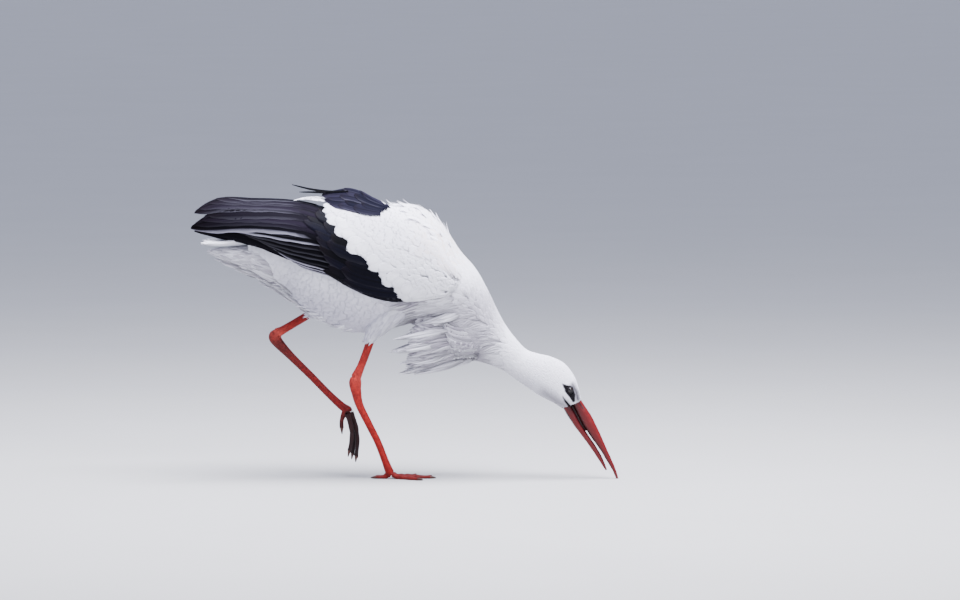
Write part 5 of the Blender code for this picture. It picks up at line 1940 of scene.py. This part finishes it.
@dataclass
class Quills:
    """Black great coverts and flight feathers of one folded wing, each with its own shaft."""

    letter: str
    seed: int = 51

    def painter(self, rims: Array) -> Callable:
        """Painter of black vanes whose lower rims are silvery by the given shares: a pale web edge,
        brightened as painted sheen.

        The end is worn brown, and the shaft is a darker line.
        """
        def paint(colours: Array, along: Array, across: Array) -> Array:
            """Colours of the vanes' points."""
            # silvery rim: pale web edge with painted sheen
            rim = 0.75 * ease(across, -0.62, -0.95) * ease(along, 0.12, 0.3) * rims[:, None]
            colours = mix(colours, SILVER_RIM_SHEEN, rim)
            colours = mix(colours, WORN_BROWN, 0.45 * ease(along, 0.78, 1.0))
            return mix(colours, INK * 0.4, 0.6 * (np.abs(across) < 0.12))
        return paint

    def build(self) -> None:
        """Lay the flight feathers from lowest to highest, then the great coverts over them."""
        rng = np.random.default_rng(self.seed)
        pad = WingPad(SIDES[self.letter])
        material = PlumageFinish("black_flight_feather_keratin", 0.55, 0.0, depth=0.2,
                                 specular=0.012, streaks=0.5).material()
        flight = Shape.joined([self.primaries(pad, rng), self.secondaries(pad, rng),
                               self.tertials(pad, rng)])
        finish_piece(flight.piece(f"flight_feathers_{self.letter}", material, 0.75),
                     "black_plumage", f"wing_{self.letter}_flight")
        gloss = PlumageFinish("black_great_covert_keratin", 0.5, 0.0, barb_mm=1.4, depth=0.2,
                              specular=0.03, streaks=0.25).material()
        coverts = self.great_coverts(pad, rng)
        finish_piece(coverts.piece(f"great_coverts_{self.letter}", gloss, 0.65), "black_plumage",
                     f"wing_{self.letter}_greater")

    def primaries(self, pad: WingPad, rng: np.random.Generator) -> Shape:
        """Six long primaries that make the wing's rear point, deepest of the stack."""
        order = np.linspace(0, 1, 6)
        ends = np.stack([WRIST_X + 432 - 20 * order, 0.06 + 0.40 * order], axis=1)
        lift = -8.6 + 0.5 * order
        flock = Flock(np.full(6, 300.0), 0.08 + 0.40 * order, None, np.full(6, 28.0),
                      INK * rng.uniform(0.6, 1.2, (6, 1)), sink=lift, rise=lift, tilt=-0.4)
        return quills(pad, Vane(18, 5, Tip.QUILL, 0.5, arch=0.03, ridge=0.4), flock, ends, rng,
                      bow=-0.02, painter=self.painter(np.zeros(6)))

    def secondaries(self, pad: WingPad, rng: np.random.Generator) -> Shape:
        """Eleven secondaries whose tips step back along the lower edge, the first ones with silvery
        rims of pale web and painted sheen.
        """
        order = np.linspace(0, 1, 11)
        ends = np.stack([306 + 208 * order, 0.0 + 0.26 * order**1.4], axis=1)
        rims = np.where(order < 0.45, 1.0, rng.uniform(0, 0.12, 11))
        rims[-2] = 0.9
        lift = -7.0 + 1.6 * order
        flock = Flock(150 + 110 * order, 0.10 + 0.42 * order, None, rng.uniform(24, 32, 11),
                      mix(FLIGHT_DARK, FLIGHT_BROWN, rng.uniform(0, 0.5, 11)),
                      sink=lift + 2.0, rise=lift, tilt=-0.35)
        return quills(pad, FLIGHT_VANE, flock, ends, rng, bow=-0.03, painter=self.painter(rims))

    def tertials(self, pad: WingPad, rng: np.random.Generator) -> Shape:
        """Nine broad tertials in two pointed groups that cover the top of the folded wing."""
        count = len(TERTIAL_TIPS)
        order = np.linspace(0, 1, count)
        tips = np.array(TERTIAL_TIPS)
        ends = np.stack([WRIST_X - tips[:, 0], tips[:, 1]], axis=1)
        root = 0.50 + 0.47 * order + rng.uniform(-0.03, 0.03, count)
        rims = rng.uniform(0.0, 0.10, count)
        rims[0] = 0.75
        lift = -3.6 + 2.6 * order
        flock = Flock(270 + 30 * order, root, None, rng.uniform(34, 52, count),
                      mix(FLIGHT_DARK, FLIGHT_GREY, rng.uniform(0.1, 0.9, count)),
                      sink=lift, rise=lift, tilt=-0.45)
        return quills(pad, FLIGHT_VANE, flock, ends, rng, bow=0.03, painter=self.painter(rims))

    def great_coverts(self, pad: WingPad, rng: np.random.Generator) -> Shape:
        """Glossy great coverts between the white edge and the flight feathers, in two rows."""
        rows = []
        for count, past, lift, reach in ((12, 24, -2.0, 0.0), (9, -22, -1.1, -0.03)):
            order = (np.arange(count) + 0.5) / count
            front = WRIST_X - follow(COVERT_REAR, order)[:, 0]
            rear = WRIST_X - follow(GREATER_REAR, order)[:, 0]
            ends = np.stack([rear + past + rng.uniform(-16, 16, count),
                             order - 0.03 + reach + rng.uniform(-0.01, 0.01, count)], axis=1)
            flock = Flock(front - 34, order + 0.03, None, rng.uniform(32, 44, count),
                          mix(BAND_BLACK, BAND_NAVY, rng.uniform(0, 1, count)),
                          sink=lift, rise=lift, tilt=-0.25)
            rows.append(quills(pad, Vane(14, 7, Tip.QUILL, 0.45, arch=0.03, ridge=0.3), flock,
                               ends, rng, painter=self.painter(rng.uniform(0, 0.06, count))))
        return Shape.joined(rows)


@dataclass
class Shoulders:
    """Long black shoulder feathers that roof the back, and the loose plumes over them."""

    letter: str
    seed: int = 71

    def plumes(self, rng: np.random.Generator) -> Shape:
        """Three narrow plumes side by side along the lifted path, the middle one longest."""
        keys = [(share, *place) for share, place in
                zip((0.0, 0.34, 0.68, 1.0), PLUMES[self.letter])]
        vane = Vane(16, 5, Tip.ROUND, 0.4, arch=0.1, ridge=0.3)
        reach = np.array([0.80, 1.0, 0.66])
        shafts = np.stack([follow(keys, vane.stations() * part) for part in reach])
        shafts[..., 1] *= SIDES[self.letter]
        shafts += np.array([[0, -3.5, -0.6], [0, 0, 0.0], [0, 3.5, -1.0]])[:, None]
        ahead = unit(np.gradient(shafts, axis=1))
        side = unit(np.cross(np.array([0, -0.8, 0.6]), ahead))
        count = len(reach)
        flock = Flock(np.full(count, 120.0), np.full(count, 0.8), np.full(count, 120.0),
                      np.full(count, 4.6), np.tile(BAND_BLACK, (count, 1)), sink=0.0)
        form = vane.template()
        spread = flock.width[:, None] / 2 * form.outline * form.across
        laid = (shafts[:, form.row] + side[:, form.row] * spread[..., None],
                np.cross(ahead, side)[:, form.row], ahead[:, form.row])
        return bladed(vane, flock, laid, form.strips(count), rng)

    def build(self) -> None:
        """Lay three staggered rows of blades and the plumes."""
        rng = np.random.default_rng(self.seed)
        pad = ShoulderPad(SIDES[self.letter])
        rows = [self.plumes(rng)]
        for count, start, stop, lift in ((7, 34, 138, -1.8), (6, 14, 108, -1.0), (5, -8, 74, 0.0)):
            order = (np.arange(count) + 0.5) / count
            flock = Flock(start + 34 * (1 - order), order + rng.uniform(-0.03, 0.03, count), None,
                          rng.uniform(20, 28, count),
                          mix(BAND_NAVY, SHOULDER_GREY, rng.uniform(0, 1, count)),
                          sink=lift, rise=lift, tilt=-0.3)
            ends = np.stack([stop + rng.uniform(-12, 8, count), order + 0.02], axis=1)
            rows.append(quills(pad, Vane(14, 7, Tip.QUILL, 0.45, arch=0.04, ridge=0.4), flock,
                               ends, rng,
                               painter=Quills(self.letter).painter(rng.uniform(0, 0.1, count))))
        material = PlumageFinish("black_shoulder_feather_keratin", 0.55, 0.0, depth=0.2,
                                 specular=0.012, streaks=0.45).material()
        piece = Shape.joined(rows).piece(f"shoulder_feathers_{self.letter}", material, 0.75)
        finish_piece(piece, "black_plumage", f"scapulars_{self.letter}")


def low_line(x: Array) -> Array:
    """Height of the body's lower outline at x, straight between the rings' lowest points."""
    rings = np.array(BODY + VENT)
    rings = rings[rings[:, 2].argsort()]
    return np.interp(x, rings[:, 2], rings[:, 3])


@dataclass
class Ruff:
    """Long pointed locks of the lower breast, blown back under the body in four depths.

    Towards their tips the locks draw together into pointed clumps, spaced evenly round the ruff.
    Free locks with air between them hang past the rear and the lower edge.
    """

    seed: int = 91
    surface: Loft = field(default_factory=lambda: Loft(RUFF))
    # Depth, distances between rows and between neighbours, first ring.
    layers: tuple = ((0.0, 9.0, 6.0, 0.15), (8.0, 12.0, 8.0, 1.2), (18.0, 14.0, 10.0, 1.8),
                     (29.0, 15.0, 11.0, 2.0))
    furthest: float = 4.0       # x where the laid feathers end
    between: float = 16.0       # how much shorter the feathers between the clumps are
    clumps: int = 12
    longest: float = 105.0
    split: float = 130.0        # x between the rear free locks and the front ones
    # How far out the root of a free lock lies, as a share of its tip's distance.
    rear_share: float = 0.86
    front_share: float = 0.45
    # Levels of free locks: root x and z, tip x and z, distances out, radius at the root.
    levels: tuple = (
        ((122, 346), (34, 320), (-66, -48, 52), 12),
        ((96, 330), (8, 304), (-64, 46), 11),
        ((92, 310), (-23, 288), (-72, -26, 22, 66), 13),
        ((78, 284), (-30, 261), (-72, -24, 18, 66), 14),
        ((96, 264), (-11, 237), (-60, -8, 50), 14),
        ((92, 246), (-16, 216), (-36, 6), 12),
        ((124, 248), (20, 216), (-42, -6, 34), 12),
        ((150, 256), (62, 226), (-40, -14, 14, 40), 11),
        ((156, 278), (58, 250), (-58, 58), 12),
    )

    def layer(self, depth: float, along: float, across: float, first: float,
              rng: np.random.Generator) -> Shape:
        """Lay one depth of locks that all flow back and a little down.

        A lock's sweep turns it towards the middle of its clump: minus the sine of the clumps'
        number times its place round the ruff. Its tip ends sooner by the cosine of the same.
        """
        u, v = scatter(self.surface, ((0, along, across), (4, along, across)), first, 3.7, rng)
        points = self.surface.at(u, v)
        kept = points[:, 2] < low_line(points[:, 0]) + 30
        u, v, points = u[kept], v[kept], points[kept]
        count = len(u)
        _, forward, round_way, normal = self.surface.frame(u, v)
        hand = np.sign(dot(np.cross(normal, forward), round_way))[:, 0]
        rear = ease(points[:, 0], 130, 50)
        reach = np.random.default_rng(self.seed + 1).uniform(0, 24, self.clumps) + 0.8 * depth
        clump = np.round(v * self.clumps / (2 * math.pi)).astype(int) % self.clumps
        share = (1 - np.cos(self.clumps * v)) / 2
        room = points[:, 0] - self.furthest - reach[clump] - self.between * share**0.7
        room = room - 6 * rng.random(count)
        length = np.minimum(rng.uniform(60, self.longest, count), room)
        # painted shade: the locks are greyed and darkened, as the ruff lies in shade under the body
        grey = rng.uniform(0.3, 1.0, (count, 1))
        tint = (WHITE * (1 - grey) + DEEP_SHADE_GREY * grey) * rng.uniform(0.55, 1.0, (count, 1))
        gather = -0.34 * np.sin(self.clumps * v) * hand * rear
        flock = Flock(u, v, np.clip(length, 18, self.longest), rng.uniform(7, 12, count), tint,
                      lie=rng.normal(0, 0.07, count), sweep=gather + rng.normal(0, 0.06, count),
                      wave=0.09, sink=-3.0 - depth,
                      rise=-depth * (1 - 0.5 * rear) + rng.normal(0, 0.35, count),
                      stand=rng.uniform(-1.5, 1.5, count), tilt=rng.normal(0, 0.25, count))
        vane = Vane(10, 4, Tip.LANCE, 0.3, arch=0.16, dusk=0.14)
        return lay(self.surface, vane, flock, rng, self.flow, root_shade=0.5)

    def locks(self, rng: np.random.Generator) -> Shape:
        """Free pointed locks in levels, with the air showing between them."""
        locks = []
        for (root_x, root_z), (tip_x, tip_z), distances, radius in self.levels:
            for place, out in enumerate(distances):
                back = 7.0 * place * rng.random()
                share = self.rear_share if root_x < self.split else self.front_share
                locks.append(Lock((root_x + 0.3 * back, share * out, root_z),
                                  (tip_x + back, out, tip_z - 0.07 * out), radius, count=30,
                                  width=8.5, grey=0.6))
        return bundles(self.surface, Vane(9, 3, Tip.LANCE, 0.3, arch=0.16, dusk=0.12), locks,
                       rng, 0.4)

    def flow(self, points: Array, _forward: Array) -> Array:
        """Back and slightly down, a little more so near the neck."""
        down = -0.10 - 0.25 * ease(points[:, 0], 90, 180)
        return np.stack([-np.ones(len(points)), np.zeros(len(points)), down], axis=1)

    def build(self) -> None:
        """Build and finish the ruff."""
        rng = np.random.default_rng(self.seed)
        material = PlumageFinish("white_breast_lock_keratin", 0.85, 0.08, glow=0.2,
                                 streaks=0.2).material()
        shape = Shape.joined([self.layer(*layer, rng) for layer in self.layers]
                             + [self.locks(rng)])
        finish_piece(shape.piece("coat_ruff", material, 0.4), "loose_plumage", "ruff")


@dataclass
class Tail:
    """White tail feathers in a closed fan, and the soft pointed feathers under them."""

    seed: int = 101
    fan: int = 9                # feathers above, and as many below

    def rectrices(self, rng: np.random.Generator) -> Shape:
        """Two rows of long feathers that meet at the thin end of the tail."""
        surface = Loft(TAIL, 2.6)
        turn = np.linspace(0.06, 0.94, self.fan) * math.pi
        v = np.concatenate([turn, turn + math.pi])
        count = len(v)
        under = v > math.pi
        length = rng.uniform(126, 135, count) - 13 * under * rng.random(count)
        flock = Flock(np.full(count, 0.05), v, length, rng.uniform(17, 22, count),
                      # painted shade: the lower row is darker than the upper
                      WHITE * (1 - 0.16 * rng.random((count, 1)) - 0.12 * under[:, None]),
                      lie=rng.normal(0, 0.02, count), sink=-3.0, rise=-0.3 + 0.5 * under,
                      tilt=rng.normal(0, 0.5, count))
        return lay(surface, Vane(16, 5, Tip.QUILL, 0.4, arch=0.04, ridge=0.3, dusk=0.18), flock,
                   rng)

    def points(self, surface: Loft, rng: np.random.Generator) -> Shape:
        """Streaky pointed locks along the undertail's lower outline and its two sides."""
        locks = []
        for x in np.arange(-236.0, -396.0, -15.0):
            low = low_line(x) + 1.0
            for out, rise in ((-24, 20), (-15, 7), (0, 0), (15, 7), (24, 20)):
                tip_x = x + rng.uniform(-7, 7)
                root_x = tip_x + 55
                narrow = np.interp(x, (-400, -240), (0.55, 1.0))
                tip = (tip_x, out * narrow, low + rise * narrow - rng.uniform(4, 12))
                start = low_line(root_x) + rise * narrow - rng.uniform(-3, 2)
                root = (root_x, out * narrow * 1.15, start)
                locks.append(Lock(root, tip, spread=6.5, count=17, width=8.0, grey=0.8))
        return bundles(surface, Vane(8, 3, Tip.LANCE, 0.25, arch=0.16, dusk=0.12), locks, rng,
                       0.4)

    def undertail(self, rng: np.random.Generator) -> Shape:
        """Pointed feathers on two depths of the undertail, and the free locks round them."""
        surface = Loft(VENT)
        shapes = [self.points(surface, rng)]
        for depth, gap, start in ((9.0, 11.0, 0.4), (0.0, 8.0, -0.7)):
            u, v = scatter(surface, ((0, gap, gap * 0.9), (3, gap, gap * 0.8)), start, 2.9, rng)
            count = len(u)
            x = surface.at(u, v)[:, 0]
            room = x + 406 - 16 * rng.random(count)
            flock = Flock(u, v, np.clip(np.minimum(rng.uniform(34, 52, count), room), 12, 60),
                          rng.uniform(8, 14, count),
                          # painted shade: the undertail feathers are greyed, as they lie in shade
                          # under the tail
                          mix(WHITE, DEEP_SHADE_GREY, rng.uniform(0, 0.8, count))
                          * rng.uniform(0.9, 1.0, (count, 1)),
                          lie=rng.normal(0, 0.12, count), sweep=rng.normal(0, 0.14, count),
                          wave=0.06, sink=-5.0 - depth, rise=rng.normal(-depth, 0.15, count),
                          stand=rng.uniform(-1, 2.4, count) * ease(x, -300, -350),
                          tilt=rng.normal(0, 0.12, count))
            shapes.append(lay(surface, Vane(8, 5, Tip.LANCE, 0.25, arch=0.16, dusk=0.08), flock,
                              rng, root_shade=0.8))
        return Shape.joined(shapes)

    def build(self) -> None:
        """Build and finish both pieces."""
        rng = np.random.default_rng(self.seed)
        material = PlumageFinish("white_tail_feather_keratin", 0.75, 0.15, glow=0.4,
                                 streaks=0.18).material()
        finish_piece(self.rectrices(rng).piece("tail_feathers", material), "loose_plumage", "tail")
        finish_piece(self.undertail(rng).piece("coat_undertail", material, 0.4), "loose_plumage",
                     "vent")


@dataclass
class ThighCoat:
    """Short soft feathers of one thigh that end in white points over the bare shank."""

    leg: Leg
    seed: int = 111
    # Ring, distances between rows and between neighbours, length, width.
    sizes: tuple = ((0, 8, 7, 34, 14), (2, 5.5, 5, 26, 10), (3.2, 4, 3.6, 19, 6.5))

    def build(self) -> None:
        """Lay the feathers down the limb, whose flow turns to the belly's near its top."""
        rng = np.random.default_rng(self.seed)
        surface = self.leg.thigh
        u, v = scatter(surface, self.sizes, 0.1, 3.05, rng)
        points = surface.at(u, v)
        kept = points[:, 2] < low_line(points[:, 0]) + 50
        u, v, points = u[kept], v[kept], points[kept]
        count = len(u)
        length, width = follow(self.sizes, u)[:, 2:].T
        tip = ease(u, 2.0, 3.0)
        flock = Flock(u, v, length * rng.uniform(0.8, 1.2, count),
                      width * rng.uniform(0.85, 1.1, count),
                      # painted shade: the thigh feathers are greyed, as they lie under the belly
                      mix(WHITE, SHADE_GREY, rng.uniform(0.2, 0.9, count))
                      * rng.uniform(0.93, 1.0, (count, 1)), lie=rng.normal(0, 0.12, count),
                      sweep=rng.normal(0, 0.12, count), wave=0.06, sink=-4.0 + 2.0 * tip,
                      rise=rng.normal(-0.2, 0.08, count),
                      stand=rng.uniform(-0.5, 3.5, count) * tip, tilt=rng.normal(0, 0.05, count))
        shape = lay(surface, Vane(7, 5, Tip.LANCE, 0.2, arch=0.16, dusk=0.02), flock, rng)
        material = PlumageFinish("white_thigh_feather_keratin", 0.85, 0.2, glow=0.5).material()
        finish_piece(shape.piece(f"coat_thigh_{self.leg.letter}", material, 0.75), "body_plumage")


@dataclass
class LegScales:
    """Small horny plates on one bare leg, and broad ones across the tops of its toes."""

    leg: Leg
    skin: "Skin"
    seed: int = 121
    plate: float = 3.0          # size of a plate on shank and tarsus
    toe_plate: float = 2.4
    scute_count: int = 20       # broad plates along each toe

    def plates(self, limb: Limb, rng: np.random.Generator, size: float, lift: float) -> Shape:
        """Cover a limb with small plates that overlap downwards like tiles."""
        low, high = limb.u_range
        gap = size * 0.80
        u, v = scatter(limb, ((low, gap, gap), (high, gap, gap)), low + 0.05, high - 0.1, rng)
        points = limb.at(u, v)
        kept = points[:, 2] > 1.5
        u, v, points = u[kept], v[kept], points[kept]
        count = len(u)
        tint = self.skin.leg_colours(points, np.ones_like(points))
        tint = tint * rng.uniform(0.6, 1.35, (count, 1))
        flock = Flock(u, v, np.full(count, size), rng.uniform(0.85, 1.1, count) * size, tint,
                      lie=rng.normal(0, 0.12, count), sink=-0.35, rise=lift)
        return lay(limb, Vane(4, 3, Tip.ROUND, 0.2, arch=0.35), flock, rng, root_shade=0.72)

    def scutes(self, toe: Limb, rng: np.random.Generator) -> Shape:
        """A single row of broad plates along the top of a toe."""
        low, high = toe.u_range
        count, turn = self.scute_count, turns(24)
        u = np.linspace(low + 0.2, high - 0.1, count)
        rings = toe.at(np.repeat(u, len(turn)), np.tile(turn, count)).reshape(count, len(turn), 3)
        top = rings[..., 2 if self.leg.planted else 0].argmax(axis=1)
        points = rings[np.arange(count), top]
        tint = self.skin.leg_colours(points, np.ones_like(points))
        tint = tint * rng.uniform(0.8, 1.2, (count, 1))
        length = np.linalg.norm(np.diff(points, axis=0), axis=1).mean() * 1.3
        radius = follow(toe.rows, u)[:, 3]
        flock = Flock(u, turn[top], np.full(count, length), radius * 1.5, tint, sink=-0.3,
                      rise=0.35)
        return lay(toe, Vane(4, 5, Tip.ROUND, 0.25, arch=0.42), flock, rng, root_shade=0.7)

    def build(self) -> None:
        """Build and finish the plates of the leg."""
        rng = np.random.default_rng(self.seed)
        shapes = [self.plates(self.leg.shank, rng, self.plate, 0.25),
                  self.plates(self.leg.tarsus, rng, self.plate, 0.3)]
        for toe in self.leg.toes.values():
            shapes += [self.plates(toe, rng, self.toe_plate, 0.12), self.scutes(toe, rng)]
        material = SkinFinish("horny_leg_scale", plate_mm=1.1).material()
        piece = Shape.joined(shapes).piece(f"leg_scales_{self.leg.letter}", material)
        finish_piece(piece, "leg_skin")


# --- Floor, light and camera ----------------------------------------------------------------------
@dataclass
class Studio:
    """Plain pale floor, soft lamps and air, and the camera low at the bird's right side."""

    frame_width: float = 1978.0     # of the picture, at the bird
    target: tuple[float, float] = (156.0, 369.6)
    distance: float = 14.0
    elevation: float = 4.0
    floor_colour: str = "#a2a29f"
    floor_reach: float = 60.0       # metres from the middle to each edge
    air_colour: str = "#ced4f1"
    air_strength: float = 1.6
    aim: tuple[float, float, float] = (0.0, 0.0, 0.35)      # what the lamps face, in metres
    # Name, place and size in metres, watts and colour of each lamp.
    lamps: tuple = (
        ("overhead", (0.3, -0.6, 3.4), 2.4, 800.0, "#f2f2ff"),
        ("side", (1.8, -3.0, 2.0), 2.0, 100.0, "#fffaf8"),
    )

    def floor(self) -> None:
        """A wide flat floor with a barely uneven matt finish."""
        material, tree, shader = shaded("matt_floor_paint", Roughness=0.9)
        place = add(tree, "ShaderNodeTexCoord")
        noise = add(tree, "ShaderNodeTexNoise", {"Vector": place.outputs["Object"],
                                                 "Scale": 2.0, "Detail": 4.0})
        low, high = (tuple(c * share for c in linear(self.floor_colour)) + (1.0,)
                     for share in (0.96, 1.04))
        ramp = add(tree, "ShaderNodeMix", {"Factor": noise.outputs["Fac"], 6: low, 7: high},
                   data_type="RGBA")
        tree.links.new(ramp.outputs[2], shader.inputs["Base Color"])
        mesh = bpy.data.meshes.new("floor")
        reach = self.floor_reach
        mesh.from_pydata([(-reach, -reach, 0), (reach, -reach, 0), (reach, reach, 0),
                          (-reach, reach, 0)], [], [(0, 1, 2, 3)])
        mesh.materials.append(material)
        floor = bpy.data.objects.new("floor", mesh)
        bpy.context.scene.collection.objects.link(floor)

    def lamp(self, name: str, place: tuple, size: float, watts: float, colour: str) -> None:
        """A square soft light that faces the middle of the bird."""
        data = bpy.data.lights.new(name, "AREA")
        data.shape = "SQUARE"
        data.size = size
        data.energy = watts
        data.color = linear(colour)
        light = bpy.data.objects.new(name, data)
        light.location = place
        way = Vector(self.aim) - light.location
        light.rotation_euler = way.to_track_quat("-Z", "Y").to_euler()
        bpy.context.scene.collection.objects.link(light)

    def air(self) -> None:
        """Even pale light from all round."""
        world = bpy.data.worlds.new("studio_air")
        world.use_nodes = True
        background = world.node_tree.nodes["Background"]
        background.inputs["Color"].default_value = (*linear(self.air_colour), 1.0)
        background.inputs["Strength"].default_value = self.air_strength
        bpy.context.scene.world = world

    def camera(self) -> None:
        """Camera whose lens takes in the frame's width at the target's distance."""
        data = bpy.data.cameras.new("camera")
        data.lens = data.sensor_width * self.distance / (self.frame_width * MM)
        data.clip_end = 200.0
        camera = bpy.data.objects.new("camera", data)
        tilt = math.radians(self.elevation)
        x, z = (value * MM for value in self.target)
        camera.location = (x, -self.distance * math.cos(tilt), z + self.distance * math.sin(tilt))
        camera.rotation_euler = (math.pi / 2 - tilt, 0, 0)
        bpy.context.scene.collection.objects.link(camera)
        bpy.context.scene.camera = camera

    def build(self) -> None:
        """Make floor, world, lights and camera."""
        self.floor()
        self.air()
        for lamp in self.lamps:
            self.lamp(*lamp)
        self.camera()


def main() -> None:
    """Build the bird's looks in order, then the studio."""
    logging.basicConfig(level=logging.INFO, format="%(name)s %(message)s")
    legs = {letter: Leg(letter) for letter in SIDES}
    skin = Skin(legs)
    skin.build()
    Bill().build()
    Eyes().build()
    Claws(legs).build()
    BodyCoat().build()
    LooseTufts().build()
    Ruff().build()
    Tail().build()
    for leg in legs.values():
        ThighCoat(leg).build()
        LegScales(leg, skin).build()
    for letter in SIDES:
        WingCoat(letter).build()
        Quills(letter).build()
        Shoulders(letter).build()
    Studio().build()


if __name__ == "__main__":
    main()
